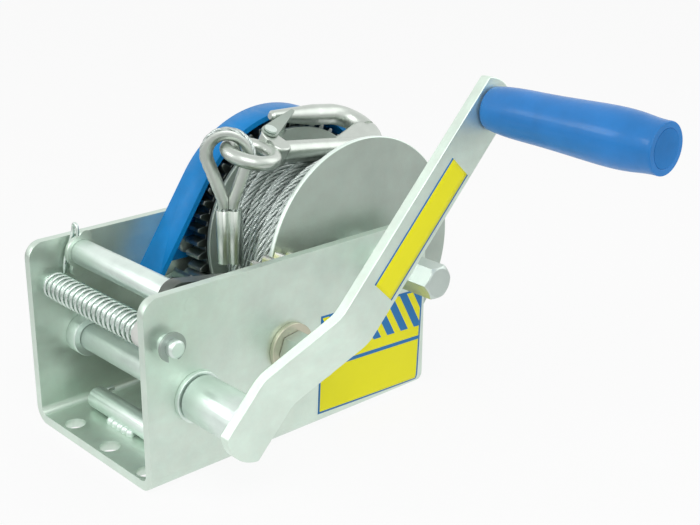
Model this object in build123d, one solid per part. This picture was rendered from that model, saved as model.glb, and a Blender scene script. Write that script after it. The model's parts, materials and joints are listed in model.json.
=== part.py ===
from build123d import *
import os
from math import acos, asin, atan2, cos, degrees, hypot, pi, radians, sin, sqrt, tan

# Trailer winch, in millimetres: +X runs to the rear, +Y to the gear side, +Z up.
# The origin is the middle of the base's underside, and the crank is on the -Y side.

# Frame: one folded channel of plate
FRAME_LENGTH = 187.6
FRAME_WIDTH = 110.0
FRAME_HEIGHT = 102.4
PLATE = 5.0
BEND_RADIUS = 4.0
CORNER_RADIUS = 9.0
BASE_HOLE = 5.5
BASE_HOLE_EDGE = 7.2
BASE_HOLE_PITCH = 34.0
BASE_ROW_SHIFT = -6.0

# Gear train: two steps of spur gears, 36/12 and 50/10, so 15 turns of the crank to one of the drum
MODULE = 2.5
PRESSURE = radians(20)
ADDENDUM = 1.0
DEDENDUM = 1.25
BACKLASH = 0.25
FLANK_POINTS = 4
INPUT_TEETH, REDUCTION_TEETH, INPUT_SHIFT = 12, 36, 0.3
PINION_TEETH, DRUM_TEETH, PINION_SHIFT = 10, 50, 0.42
INPUT_AXIS = (-65.0, 45.2)
INPUT_ANGLE = 8.3
DRUM_ANGLE = 22.9

# Clearances
RUNNING = 0.06
FIXED = 0.03
SEAT = 0.02
SIDE_PLAY = 0.3

# Shafts, turned from hexagon bar whose ends take the crank socket
HEX_FLATS = 17.0
DRUM_SHAFT = 8.0
SMALL_SHAFT = 7.5
DRUM_HEX = 36.7
REDUCTION_HEX = 24.7
INPUT_HEX = 35.7
HEX_CHAMFER = 1.5
SHAFT_OVERHANG = 3.6
CLIP_WIDTH = 1.5
CLIP_DEPTH = 0.8
CLIP_RIM = 2.6
CLIP_GAP = 5.0

# Bushes in the side plates
BUSH_SLEEVE = 10.5
BUSH_FLANGE = 13.5
BUSH_FLANGE_WIDTH = 3.0
BUSH_BOSS = 11.2
INPUT_BOSS_LENGTH = 9.0
DRUM_BOSS_LENGTH = 6.5
REDUCTION_BOSS_LENGTH = 4.5

# Wheels on the shafts, measured in from the near and the far plate
REDUCTION_GEAR_INSET = 1.5
REDUCTION_GEAR_WIDTH = 10.0
INPUT_PINION_INSET = 1.0
INPUT_PINION_WIDTH = 11.0
GEAR_HUB = 16.0
DRUM_GEAR_INSET = 7.0
DRUM_GEAR_WIDTH = 12.0
DRUM_PINION_INSET = 5.0
DRUM_PINION_WIDTH = 16.5

# Drum
NEAR_FLANGE = 66.4
FAR_FLANGE = 60.5
FLANGE_THICK = 3.0
NEAR_FLANGE_INSET = 13.5
GEAR_SPACER = 30.0
GEAR_SPACER_WIDTH = 4.0
NEAR_SPACER = 12.0
BARREL = 38.0
BARREL_WALL = 4.0

# Rope: the wound pack is high at the near side, where loose wraps sag to the front,
# low under the hook and middling at the far side
ROPE = 3.0
NEAR_PILE = 60.0
PILE_SAG = (-3.4, -4.9)
VALLEY = 46.9
FAR_PILE = 52.6
FAR_PILE_WIDTH = 16.0
PILE_GAP = 0.9
PACK_PLAY = 0.05

# Rope's end, each place given from the drum's axis in the side view and in from the far flange:
# the tail from the pack to the ferrule, then the loop round its thimble
TAIL_ROUTE = [(-1.75, 28.0, -50.17), (-10.42, 28.0, -49.86), (-48.16, 27.3, -34.94), (-57.16, 26.8, -24.24)]
TAIL_RISE = 12.0
RUN_SHARE = 0.45
LOOP_PLACE = (-64.46, 24.0)
LOOP_HEADING = -42.7
LOOP_HANG = -0.4
LOOP_RISE = 30.5
LOOP_CROWN = 12.0
LOOP_LEG = 3.1
LOOP_NECK = 1.5
LOOP_FLARE = 12.0
THIMBLE_INNER = 3.15
THIMBLE_OUTER = 4.3
THIMBLE_LIP = 1.8
THIMBLE_SPLIT = 0.3
FERRULE_LENGTH = 30.0
FERRULE = 4.0

# Snap hook, drawn flat with its eye at the origin and its shank along the first axis.
# The eye's place is from the drum's axis, in from the far flange and up from that flange's rim.
HOOK_EYE_PLACE = (-55.16, 32.1, 1.35)
HOOK_DESCENT = 7.5
HOOK_TILT = 24.0
EYE_TWIST = 12.0
EYE_RING = 12.8
EYE_WIRE = 3.95
SHANK = 6.0
SHANK_END = 80.0
NECK_START = 11.0
NECK = 4.8
NECK_END = 22.0
HOOK_BEND = 16.5
POINT_START = 68.0
POINT_END = 36.0
POINT_ROOT = 3.2
POINT_TIP = 1.8
POINT_NOSE = 1.5
BOW_START = 62.0
BOW_INNER = (89.0, 19.6)
BOW_CORNER = 5.0
FORGED_HALF = 5.0
FORGED_EDGE = 3.5

# Hook latch: a sheet channel astride a lug beside the eye, tapering to its tip at the hook's point
LATCH_PIVOT = (16.7, 9.7)
LATCH_LUG = 4.2
LUG_FOOT = 18.0
LUG_EDGE = 1.5
LATCH_ANGLE = 32.0
LATCH_LENGTH = 34.0
LATCH_CHEEK = 4.6
LATCH_TIP = 1.2
LATCH_SHEET = 1.0
LATCH_BACK_START = 7.0
LATCH_RIVET = 2.0
LATCH_RIVET_HEAD = 3.4
RIVET_HEAD_THICK = 1.2

# Gear guard, a plastic shell over the drum gear
GUARD_GAP = 3.0
GUARD_WALL = 3.0
GUARD_WEB = 2.5
GUARD_OVERLAP = 1.5
GUARD_TANGENT = 145.6
GUARD_RUN = 60.0
GUARD_FRONT_FOOT = 73.0
GUARD_REAR_FOOT = 92.0
GUARD_FOOT_STEP = (70.0, 84.0)
GUARD_BUSH_HOLE = 12.2
GUARD_SCREWS = [(2.0, 81.5), (86.0, 96.8)]
SCREW = 2.5
SCREW_HOLE = 2.75
SCREW_HEAD = 4.6
SCREW_HEAD_THICK = 2.6

# Crank
CRANK_ANGLE = 46.0
CRANK_RADIUS = 189.0
HUB = 12.25
HUB_PLAY = 0.7
HUB_LENGTH = 37.0
SOCKET_PLAY = 0.05
BAR_WIDE = 25.0
BAR_THICK = 6.0
JOGGLE = 21.0
JOGGLE_START = 28.0
JOGGLE_END = 92.0
JOGGLE_BEND = 14.0
SPINDLE = 5.0
SPINDLE_HEAD = 7.5
SPINDLE_HEAD_THICK = 2.5
HEAD_CHAMFER = 1.0
GRIP_PLAY = 1.0
GRIP_LENGTH = 98.0
GRIP_RADII = [(0.0, 10.6), (0.04, 11.2), (0.30, 12.4), (0.60, 13.5), (0.85, 13.3), (0.93, 12.4), (1.0, 12.2)]
GRIP_POCKET = 9.0
GRIP_POCKET_DEPTH = 12.0
CAP_THICK = 3.0

# Pawl across the front
PAWL_AXIS = (-66.3, 93.8)
PAWL_PIN = 4.0
PAWL_SLEEVE = 7.0
PAWL_SLEEVE_INSETS = (1.2, 4.0)
FINGER_INSET = 2.5
FINGER_WIDTH = 8.0
FINGER_REACH = 34.5
FINGER_ANGLE = 3.0
FINGER_ROOT = 9.0
FINGER_NOSE = 3.0
LEVER_THICK = 3.0
LEVER_EYE = 9.0
LEVER_UPPER = (-63.6, 101.6)
LEVER_LOWER = (-69.4, 84.8)
LEVER_WIDE = 7.6

# Pawl spring on its cross pin
SPRING_AXIS = (-82.4, 78.6)
SPRING_RADIUS = 6.75
SPRING_WIRE = 0.95
SPRING_PITCH = 4.35
SPRING_TURNS = 19
SPRING_INSET = 3.5
SPRING_LEG = [(-75.65, 0.9, 88.0), (-68.3, 0.9, 104.3), (-68.0, -3.7, 104.3)]
SPRING_LEG_BENDS = [12.0, 2.2]
SPRING_PIN = 4.5
SPRING_PIN_REACH = 11.0
SPRING_PIN_HEAD = 7.5
SPRING_PIN_HEAD_THICK = 3.0
COLLAR = 7.5
RING_REACH = 7.0
RING_WIDTH = 1.6
RING_GAP = 5.6
RING_RIM = 7.4
RING_GROOVE = 3.8

# Lower stay, a round bar laid on the base and welded to it
STAY_PLACE = -67.0
STAY = 6.2
STAY_INSET = 13.6
STAY_FINGER = 1.4
STAY_FINGER_RISE = 3.2
STAY_FINGER_REACH = 9.4
STAY_FINGER_INSET = 1.6
BEAD = 3.0
BEAD_OFFSET = 4.6
BEAD_RISE = 1.0
BEAD_START = -2.8
BEAD_PITCH = 4.5
BEADS = 5

# Faces and axes worked out from the sizes above
FRONT, REAR = -FRAME_LENGTH / 2, FRAME_LENGTH / 2
NEAR_OUT, FAR_OUT = -FRAME_WIDTH / 2, FRAME_WIDTH / 2
NEAR_IN, FAR_IN = NEAR_OUT + PLATE, FAR_OUT - PLATE


def beyond(axis, angle, distance):
    """A point of the side view at some angle and distance from another."""
    return (axis[0] + distance * cos(radians(angle)), axis[1] + distance * sin(radians(angle)))


REDUCTION_AXIS = beyond(INPUT_AXIS, INPUT_ANGLE, MODULE * (INPUT_TEETH + REDUCTION_TEETH) / 2)
DRUM_AXIS = beyond(REDUCTION_AXIS, DRUM_ANGLE, MODULE * (PINION_TEETH + DRUM_TEETH) / 2)
HEX_START = NEAR_OUT - BUSH_FLANGE_WIDTH - SIDE_PLAY
SHAFT_FAR = FAR_OUT + SHAFT_OVERHANG
NEAR_FLANGE_Y = NEAR_IN + NEAR_FLANGE_INSET
PACK_NEAR = NEAR_FLANGE_Y + FLANGE_THICK
DRUM_GEAR_FAR = FAR_IN - DRUM_GEAR_INSET
DRUM_GEAR_NEAR = DRUM_GEAR_FAR - DRUM_GEAR_WIDTH
FAR_FLANGE_FAR = DRUM_GEAR_NEAR - GEAR_SPACER_WIDTH
PACK_FAR = FAR_FLANGE_FAR - FLANGE_THICK
PAWL_SLEEVE_NEAR, PAWL_SLEEVE_FAR = NEAR_IN + PAWL_SLEEVE_INSETS[0], FAR_IN - PAWL_SLEEVE_INSETS[1]
FINGER_NEAR = NEAR_IN + FINGER_INSET
LEVER_NEAR = PAWL_SLEEVE_FAR - LEVER_THICK
SPRING_FAR = FAR_IN - SPRING_INSET
SPRING_PIN_END = NEAR_OUT - SPRING_PIN_REACH
RING_PLACE = NEAR_OUT - RING_REACH
STAY_AXIS = (STAY_PLACE, PLATE + SEAT + STAY)
STAY_NEAR = NEAR_IN + BEND_RADIUS
STAY_FAR = FAR_IN - STAY_INSET
GUARD_MOUTH = DRUM_GEAR_NEAR - GUARD_OVERLAP
GUARD_BORE = MODULE * (DRUM_TEETH / 2 + ADDENDUM - PINION_SHIFT) + GUARD_GAP
HUB_START = HEX_START - HUB_PLAY
BAR_FACE = HUB_START - HUB_LENGTH
BAR_OUT = BAR_FACE - BAR_THICK
UPPER_FACE = BAR_FACE - JOGGLE
GRIP_START = UPPER_FACE - BAR_THICK - GRIP_PLAY
GRIP_END = GRIP_START - GRIP_LENGTH
GRIP_AXIS = beyond(INPUT_AXIS, CRANK_ANGLE, CRANK_RADIUS)


def by_drum(place):
    """A point given from the drum's axis in the side view and in from the far flange."""
    return Vector(DRUM_AXIS[0] + place[0], PACK_FAR - place[1], DRUM_AXIS[1] + place[2])


HOOK_EYE = by_drum((*HOOK_EYE_PLACE[:2], HOOK_EYE_PLACE[2] + FAR_FLANGE))
CROWN_HEIGHT = HOOK_EYE.Z + LOOP_HANG
FERRULE_TOP = CROWN_HEIGHT - LOOP_RISE
FERRULE_BOTTOM = FERRULE_TOP - FERRULE_LENGTH
LOOP_FOOT = by_drum((*LOOP_PLACE, -DRUM_AXIS[1]))
NEAR_PILE_FAR = HOOK_EYE.Y - SHANK - PILE_GAP


# Shapes used over and over

def across(sketch, near, far):
    """A side-view sketch made solid between two stations across the winch."""
    plane = Plane(origin=(0, far, 0), x_dir=(1, 0, 0), z_dir=(0, -1, 0))
    return extrude(plane * sketch, amount=far - near)


def rod(axis, radius, near, far):
    return across(Pos(*axis) * Circle(radius), near, far)


def sleeve(axis, outer, bore, near, far):
    return across(Pos(*axis) * (Circle(outer) - Circle(bore)), near, far)


def turned(axis, profile):
    """A profile of (station, radius) points turned about a cross axis."""
    plane = Plane(origin=(axis[0], 0, axis[1]), x_dir=(0, 1, 0), z_dir=(1, 0, 0))
    face = plane * make_face(Polyline(*profile, close=True))
    return revolve(face, Axis((axis[0], 0, axis[1]), (0, 1, 0)))


def hexagon(axis, flats, angle):
    return Pos(*axis) * Rot(0, 0, angle) * RegularPolygon(flats / 2, 6, major_radius=False)


def link(start, end, wide):
    """A bar outline with round ends between two points of the side view."""
    middle = ((start[0] + end[0]) / 2, (start[1] + end[1]) / 2)
    run = (end[0] - start[0], end[1] - start[1])
    turn = degrees(atan2(run[1], run[0]))
    return Pos(*middle) * Rot(0, 0, turn) * SlotCenterToCenter(hypot(*run), wide)


# Gears

def involute(angle):
    return tan(angle) - angle


def gear_outline(teeth, shift, phase):
    """An involute gear's outline, with the middle of one tooth at the phase angle."""
    pitch = MODULE * teeth / 2
    base = pitch * cos(PRESSURE)
    root = pitch + MODULE * (shift - DEDENDUM)
    tip = pitch + MODULE * (shift + ADDENDUM)
    half = (pi / 2 + 2 * shift * tan(PRESSURE)) / teeth - BACKLASH / (4 * pitch) + involute(PRESSURE)
    start = max(base, root)
    flank = [start + (tip - start) * step / (FLANK_POINTS - 1) for step in range(FLANK_POINTS)]
    side = [(radius, half - involute(acos(base / radius))) for radius in flank]
    if root < base:
        side.insert(0, (root, half))
    points = []
    for tooth in range(teeth):
        middle = radians(phase) + 2 * pi * tooth / teeth
        points += [(r * cos(middle - turn), r * sin(middle - turn)) for r, turn in side]
        points += [(r * cos(middle + turn), r * sin(middle + turn)) for r, turn in reversed(side)]
    return make_face(Polyline(*points, close=True))


def gear(axis, teeth, shift, phase, bore, near, far):
    return across(Pos(*axis) * (gear_outline(teeth, shift, phase) - Circle(bore)), near, far)


def facing(angle, teeth):
    """The phase that puts a gap where the driving pinion's tooth comes in."""
    return angle + 180 + 180 / teeth


# Frame

def frame():
    section = Plane(origin=(FRONT, 0, 0), x_dir=(0, 1, 0), z_dir=(1, 0, 0))
    outside = Pos(0, FRAME_HEIGHT / 2) * Rectangle(FRAME_WIDTH, FRAME_HEIGHT)
    outside = fillet(outside.vertices().group_by(Axis.Y)[0], BEND_RADIUS + PLATE)
    inside = Pos(0, FRAME_HEIGHT / 2 + PLATE) * Rectangle(FRAME_WIDTH - 2 * PLATE, FRAME_HEIGHT)
    inside = fillet(inside.vertices().group_by(Axis.Y)[0], BEND_RADIUS)
    channel = extrude(section * (outside - inside), amount=FRAME_LENGTH)
    side = Pos(0, FRAME_HEIGHT / 2) * Rectangle(FRAME_LENGTH, FRAME_HEIGHT)
    side = fillet(side.vertices().group_by(Axis.Y)[-1], CORNER_RADIUS)
    channel &= across(side, NEAR_OUT, FAR_OUT)
    for axis in (INPUT_AXIS, REDUCTION_AXIS, DRUM_AXIS):
        channel -= rod(axis, BUSH_SLEEVE + SEAT, NEAR_OUT, FAR_OUT)
    channel -= rod(PAWL_AXIS, PAWL_PIN + SEAT, NEAR_OUT, FAR_OUT)
    channel -= rod(SPRING_AXIS, SPRING_PIN + SEAT, NEAR_OUT, FAR_OUT)
    for place in GUARD_SCREWS:
        channel -= rod(place, SCREW + SEAT, FAR_IN, FAR_OUT)
    holes = GridLocations(FRAME_LENGTH - 2 * BASE_HOLE_EDGE, BASE_HOLE_PITCH, 2, 3)
    for place in holes:
        channel -= Pos(0, BASE_ROW_SHIFT, 0) * place * extrude(Circle(BASE_HOLE), amount=PLATE)
    return channel


# Shafts, their clips and bushes

def shaft(axis, radius, hex_length, angle):
    hex_end = HEX_START - hex_length
    groove = radius - CLIP_DEPTH
    clip = FAR_OUT + SIDE_PLAY
    body = turned(axis, [
        (HEX_START, 0), (HEX_START, radius), (clip, radius), (clip, groove),
        (clip + CLIP_WIDTH, groove), (clip + CLIP_WIDTH, radius), (SHAFT_FAR, radius), (SHAFT_FAR, 0),
    ])
    corner = HEX_FLATS / 2 / cos(pi / 6)
    blunt = turned(axis, [
        (hex_end, 0), (hex_end, HEX_FLATS / 2 - HEX_CHAMFER / 2), (hex_end + HEX_CHAMFER, corner),
        (HEX_START, corner), (HEX_START, 0),
    ])
    return body + (across(hexagon(axis, HEX_FLATS, angle), hex_end, HEX_START) & blunt)


def circlip(axis, radius):
    clip = FAR_OUT + SIDE_PLAY
    ring = Circle(radius + CLIP_RIM) - Circle(radius - CLIP_DEPTH + SEAT)
    ring -= Pos(0, -radius) * Rectangle(CLIP_GAP, 2 * radius)
    return across(Pos(*axis) * ring, clip + SEAT, clip + CLIP_WIDTH - SEAT)


def near_bush(axis, radius):
    bore = radius + RUNNING
    return turned(axis, [
        (NEAR_OUT - BUSH_FLANGE_WIDTH, bore), (NEAR_OUT - BUSH_FLANGE_WIDTH, BUSH_FLANGE),
        (NEAR_OUT, BUSH_FLANGE), (NEAR_OUT, BUSH_SLEEVE), (NEAR_IN, BUSH_SLEEVE), (NEAR_IN, bore),
    ])


def far_bush(axis, radius, boss_length):
    bore = radius + RUNNING
    return turned(axis, [
        (FAR_IN - boss_length, bore), (FAR_IN - boss_length, BUSH_BOSS), (FAR_IN, BUSH_BOSS),
        (FAR_IN, BUSH_SLEEVE), (FAR_OUT, BUSH_SLEEVE), (FAR_OUT, bore),
    ])


# Wheels of the gear train

def reduction_gear():
    near = NEAR_IN + REDUCTION_GEAR_INSET
    bore = SMALL_SHAFT + FIXED
    wheel = gear(REDUCTION_AXIS, REDUCTION_TEETH, -INPUT_SHIFT, facing(INPUT_ANGLE, REDUCTION_TEETH),
                 bore, near, near + REDUCTION_GEAR_WIDTH)
    return wheel + sleeve(REDUCTION_AXIS, GEAR_HUB, bore, NEAR_IN + SIDE_PLAY, near)


def input_pinion():
    near = NEAR_IN + INPUT_PINION_INSET
    return gear(INPUT_AXIS, INPUT_TEETH, INPUT_SHIFT, INPUT_ANGLE,
                SMALL_SHAFT + FIXED, near, near + INPUT_PINION_WIDTH)


def drum_pinion():
    far = FAR_IN - DRUM_PINION_INSET
    return gear(REDUCTION_AXIS, PINION_TEETH, PINION_SHIFT, DRUM_ANGLE,
                SMALL_SHAFT + FIXED, far - DRUM_PINION_WIDTH, far)


def drum_gear():
    return gear(DRUM_AXIS, DRUM_TEETH, -PINION_SHIFT, facing(DRUM_ANGLE, DRUM_TEETH),
                DRUM_SHAFT + FIXED, DRUM_GEAR_NEAR, DRUM_GEAR_FAR)


# Drum and the rope wound on it

def on_drum(outer, near, far):
    return sleeve(DRUM_AXIS, outer, DRUM_SHAFT + FIXED, near, far)


def pack_ring(outer, near, far, sag=(0, 0)):
    ring = Pos(*sag) * Circle(outer) - Circle(BARREL + PACK_PLAY)
    return across(Pos(*DRUM_AXIS) * ring, near, far)


# Rope's end

def tail_curve():
    leg = loop_plane().x_dir * LOOP_LEG + LOOP_FOOT
    points = [by_drum(place) for place in TAIL_ROUTE]
    points += [leg + Vector(0, 0, FERRULE_BOTTOM - TAIL_RISE), leg + Vector(0, 0, FERRULE_BOTTOM)]
    runs = [end - start for start, end in zip(points, points[1:])]
    radii = []
    for first, second in zip(runs, runs[1:]):
        half_turn = radians(first.get_angle(second)) / 2
        radii.append(RUN_SHARE * min(first.length, second.length) / tan(half_turn))
    print("rope tail radii", [round(radius, 1) for radius in radii])
    return FilletPolyline(*points, radius=radii)


def rope_tail():
    curve = tail_curve()
    tube = sweep(Plane(origin=curve @ 0, z_dir=curve % 0) * Circle(ROPE), path=curve)
    print("rope tail length", round(curve.length, 1), "volume over section by length",
          round(tube.volume / (pi * ROPE ** 2 * curve.length), 3))
    return tube


def loop_plane():
    heading = radians(LOOP_HEADING)
    return Plane(origin=LOOP_FOOT, x_dir=(cos(heading), sin(heading), 0),
                 z_dir=(sin(heading), -cos(heading), 0))


def on_loop(section, point, heading):
    """A section set square to the loop at a point, its first axis pointing out of the loop."""
    plane = loop_plane()
    along = plane.x_dir * cos(radians(heading)) + plane.y_dir * sin(radians(heading))
    outward = plane.y_dir * cos(radians(heading)) - plane.x_dir * sin(radians(heading))
    return Plane(origin=plane.from_local_coords(Vector(*point, 0)), x_dir=outward, z_dir=along) * section


def carried(section, point, heading, steps):
    """A section carried along straight runs, each followed by a bend, in the loop's plane."""
    solid = None
    for run, radius, turn in steps:
        if run:
            straight = extrude(on_loop(section, point, heading), amount=run)
            solid = solid + straight if solid else straight
            point = beyond(point, heading, run)
        if turn:
            side = 90 if turn > 0 else -90
            middle = beyond(point, heading + side, radius)
            pivot = Axis(loop_plane().from_local_coords(Vector(*middle, 0)), loop_plane().z_dir)
            bend = revolve(on_loop(section, point, heading), pivot, turn)
            solid = solid + bend if solid else bend
            heading += turn
            point = beyond(middle, heading - side, radius)
    return solid


def along_loop(section, with_legs):
    """A section carried round the loop: legs, outward bends, straight flanks and a round crown."""
    foot = (-LOOP_LEG, FERRULE_TOP)
    neck = (-LOOP_LEG, FERRULE_TOP + LOOP_NECK)
    bend = (neck[0] - LOOP_FLARE, neck[1])
    apart = hypot(bend[0], CROWN_HEIGHT - bend[1])
    slope = degrees(atan2(CROWN_HEIGHT - bend[1], -bend[0]))
    heading = slope + degrees(asin((LOOP_FLARE + LOOP_CROWN) / apart))
    flank = sqrt(apart ** 2 - (LOOP_FLARE + LOOP_CROWN) ** 2)
    lean = heading - 90
    round_top = [(flank, LOOP_CROWN, -2 * heading), (flank, LOOP_FLARE, lean)]
    if not with_legs:
        return carried(section, neck, 90, [(0, LOOP_FLARE, lean), *round_top])
    return carried(section, foot, 90, [(LOOP_NECK, LOOP_FLARE, lean), *round_top, (LOOP_NECK, 0, 0)])


def thimble():
    """A channel bent round the inside of the loop, whose two legs end in a point at the ferrule."""
    channel = Circle(THIMBLE_OUTER) - Circle(THIMBLE_INNER)
    channel -= Pos(THIMBLE_LIP + THIMBLE_OUTER, 0) * Rectangle(2 * THIMBLE_OUTER, 4 * THIMBLE_OUTER)
    height = CROWN_HEIGHT - LOOP_CROWN - FERRULE_TOP
    middle = loop_plane() * Pos(0, FERRULE_TOP + height / 2, 0)
    split = Box(THIMBLE_SPLIT, height, 4 * THIMBLE_OUTER)
    rope_room = along_loop(Circle(ROPE + SEAT), with_legs=True)
    return along_loop(channel, with_legs=False) - middle * split - rope_room


def ferrule():
    """A pressed sleeve shaped like a figure eight round the rope's two legs."""
    foot = Plane(origin=LOOP_FOOT + Vector(0, 0, FERRULE_BOTTOM), x_dir=loop_plane().x_dir, z_dir=(0, 0, 1))
    eight = Pos(LOOP_LEG, 0) * Circle(FERRULE) + Pos(-LOOP_LEG, 0) * Circle(FERRULE)
    return extrude(foot * eight, amount=FERRULE_LENGTH)


# Snap hook and its latch

def hook_plane():
    return Plane(Pos(*HOOK_EYE) * Rot(0, HOOK_DESCENT, 0) * Rot(HOOK_TILT, 0, 0))


def round_bar(profile, offset):
    """A bar along the hook's first axis, turned from (station, radius) points."""
    face = make_face(Polyline(*[(u, offset + r) for u, r in profile], close=True))
    return revolve(face, Axis((0, offset, 0), (1, 0, 0)))


def hook_bow():
    """The flat-sided body at the shank's end, deep where the load hangs, with rounded edges."""
    outer = HOOK_BEND + SHANK
    middle = (SHANK_END, HOOK_BEND)
    turn = degrees(asin((BOW_INNER[1] - HOOK_BEND) / outer))
    foot, head = beyond(middle, -90, outer), beyond(middle, turn, outer)
    back = ThreePointArc(foot, beyond(middle, (turn - 90) / 2, outer), head)
    rim = Polyline(head, BOW_INNER, (BOW_START, SHANK), (BOW_START, -SHANK), foot)
    side = make_face(back + rim)
    corners = side.vertices().sort_by(Axis.Y)[-2:]
    body = extrude(fillet(corners, BOW_CORNER), amount=FORGED_HALF, both=True)
    edges = body.edges().filter_by(Plane.XY).filter_by(lambda edge: edge.center().X > BOW_START)
    return fillet(edges, FORGED_EDGE)


def snap_hook():
    """A forging: an eye, a round shank, a flat-sided bow and a round arm that tapers to its point."""
    arm = 2 * HOOK_BEND
    eye = Rot(-EYE_TWIST, 0, 0) * Torus(EYE_RING, EYE_WIRE)
    shank = round_bar([(NECK_START, 0), (NECK_START, NECK), (NECK_END, SHANK), (SHANK_END, SHANK),
                       (SHANK_END, 0)], 0)
    start = Plane(origin=(SHANK_END, arm, 0), x_dir=(0, 1, 0), z_dir=(1, 0, 0))
    bend = revolve(start * Circle(SHANK), Axis((SHANK_END, HOOK_BEND, 0), (0, 0, 1)), -90)
    point = round_bar([(SHANK_END, 0), (SHANK_END, SHANK), (POINT_START, SHANK),
                       (POINT_END + POINT_NOSE, POINT_ROOT), (POINT_END, POINT_TIP), (POINT_END, 0)], arm)
    ring_hole = Rot(-EYE_TWIST, 0, 0) * Cylinder(EYE_RING, 4 * SHANK)
    foot, head = Pos(LUG_FOOT, 0) * Circle(SHANK), Pos(*LATCH_PIVOT) * Circle(LATCH_LUG)
    lug = extrude(make_hull(foot.edges() + head.edges()), amount=SHANK, both=True)
    lug = fillet(lug.edges().filter_by(Plane.XY), LUG_EDGE)
    drilling = Pos(*LATCH_PIVOT, 0) * Cylinder(LATCH_RIVET + SEAT, 4 * SHANK)
    return hook_plane() * (eye + (shank + lug - ring_hole) + hook_bow() + bend + point - drilling)


def hook_latch():
    """Two cheeks and the back that joins them, pivoted on the lug."""
    cheek_in = SHANK + SIDE_PLAY
    wide = 2 * (cheek_in + LATCH_SHEET)
    tip = Pos(LATCH_LENGTH, 0) * Circle(LATCH_TIP)
    cheek = make_hull(Circle(LATCH_CHEEK).edges() + tip.edges()) - Circle(LATCH_RIVET + RUNNING)
    channel = Pos(0, 0, cheek_in) * extrude(cheek, amount=LATCH_SHEET)
    channel += Pos(0, 0, -cheek_in - LATCH_SHEET) * extrude(cheek, amount=LATCH_SHEET)
    slope = asin((LATCH_CHEEK - LATCH_TIP) / LATCH_LENGTH)
    run = LATCH_LENGTH * cos(slope) - LATCH_BACK_START
    back = Pos(LATCH_BACK_START + run / 2, LATCH_CHEEK - LATCH_SHEET / 2, 0) * Box(run, LATCH_SHEET, wide)
    channel += Rot(0, 0, -degrees(slope)) * back
    return hook_plane() * Pos(*LATCH_PIVOT, 0) * Rot(0, 0, LATCH_ANGLE) * channel


def latch_rivet():
    reach = SHANK + SIDE_PLAY + LATCH_SHEET + SIDE_PLAY
    rivet = Cylinder(LATCH_RIVET, 2 * reach)
    head = Cylinder(LATCH_RIVET_HEAD, RIVET_HEAD_THICK)
    for side in (-1, 1):
        rivet += Pos(0, 0, side * (reach + RIVET_HEAD_THICK / 2)) * head
    return hook_plane() * Pos(*LATCH_PIVOT, 0) * rivet


# Gear guard

def guard_region(radius):
    """The outline round the drum gear with its straight run down the front."""
    out = (cos(radians(GUARD_TANGENT)), sin(radians(GUARD_TANGENT)))
    down = (-out[1], out[0])
    run = [(0, 0), (radius * out[0], radius * out[1]),
           (radius * out[0] + GUARD_RUN * down[0], radius * out[1] + GUARD_RUN * down[1]),
           (GUARD_RUN * down[0], GUARD_RUN * down[1])]
    return Pos(*DRUM_AXIS) * (Circle(radius) + make_face(Polyline(*run, close=True)))


def gear_guard():
    outer = guard_region(GUARD_BORE + GUARD_WALL)
    wall = across(outer - guard_region(GUARD_BORE), GUARD_MOUTH, FAR_IN)
    web = across(outer - Pos(*DRUM_AXIS) * Circle(GUARD_BUSH_HOLE), FAR_IN - GUARD_WEB, FAR_IN)
    low = -FRAME_LENGTH
    foot = [(FRONT, low), (FRONT, GUARD_FRONT_FOOT), (GUARD_FOOT_STEP[0], GUARD_FRONT_FOOT),
            (GUARD_FOOT_STEP[1], GUARD_REAR_FOOT), (2 * REAR, GUARD_REAR_FOOT), (2 * REAR, low)]
    shell = wall + web - across(make_face(Polyline(*foot, close=True)), GUARD_MOUTH, FAR_IN)
    for place in GUARD_SCREWS:
        shell -= rod(place, SCREW_HOLE, FAR_IN - GUARD_WEB, FAR_IN)
    return shell


def guard_screw(place):
    face = FAR_IN - GUARD_WEB
    return rod(place, SCREW_HEAD, face - SCREW_HEAD_THICK, face) + rod(place, SCREW, face, FAR_OUT)


# Crank

def crank_hub():
    socket = hexagon(INPUT_AXIS, HEX_FLATS + 2 * SOCKET_PLAY, CRANK_ANGLE)
    return across(Pos(*INPUT_AXIS) * Circle(HUB) - socket, BAR_FACE, HUB_START)


def crank_arm():
    """A flat bar with round ends, bent outward in an S between the hub and the grip."""
    slope = atan2(JOGGLE, JOGGLE_END - JOGGLE_START)
    set_back = BAR_THICK * tan(slope / 2)
    end = CRANK_RADIUS + BAR_WIDE
    inner = FilletPolyline((-BAR_WIDE, BAR_FACE), (JOGGLE_START, BAR_FACE), (JOGGLE_END, UPPER_FACE),
                           (end, UPPER_FACE), radius=[JOGGLE_BEND + BAR_THICK, JOGGLE_BEND])
    outer = FilletPolyline((-BAR_WIDE, BAR_OUT), (JOGGLE_START - set_back, BAR_OUT),
                           (JOGGLE_END - set_back, UPPER_FACE - BAR_THICK), (end, UPPER_FACE - BAR_THICK),
                           radius=[JOGGLE_BEND, JOGGLE_BEND + BAR_THICK])
    edge = make_face(inner + outer + Line(inner @ 0, outer @ 0) + Line(inner @ 1, outer @ 1))
    turn = radians(CRANK_ANGLE)
    side = Plane(origin=(INPUT_AXIS[0], 0, INPUT_AXIS[1]), x_dir=(cos(turn), 0, sin(turn)),
                 z_dir=(-sin(turn), 0, cos(turn)))
    bar = extrude(side * edge, amount=BAR_WIDE / 2, both=True)
    bar &= across(link(INPUT_AXIS, GRIP_AXIS, BAR_WIDE), UPPER_FACE - BAR_THICK, BAR_FACE)
    return bar - rod(GRIP_AXIS, SPINDLE + SEAT, UPPER_FACE - BAR_THICK, UPPER_FACE)


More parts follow.
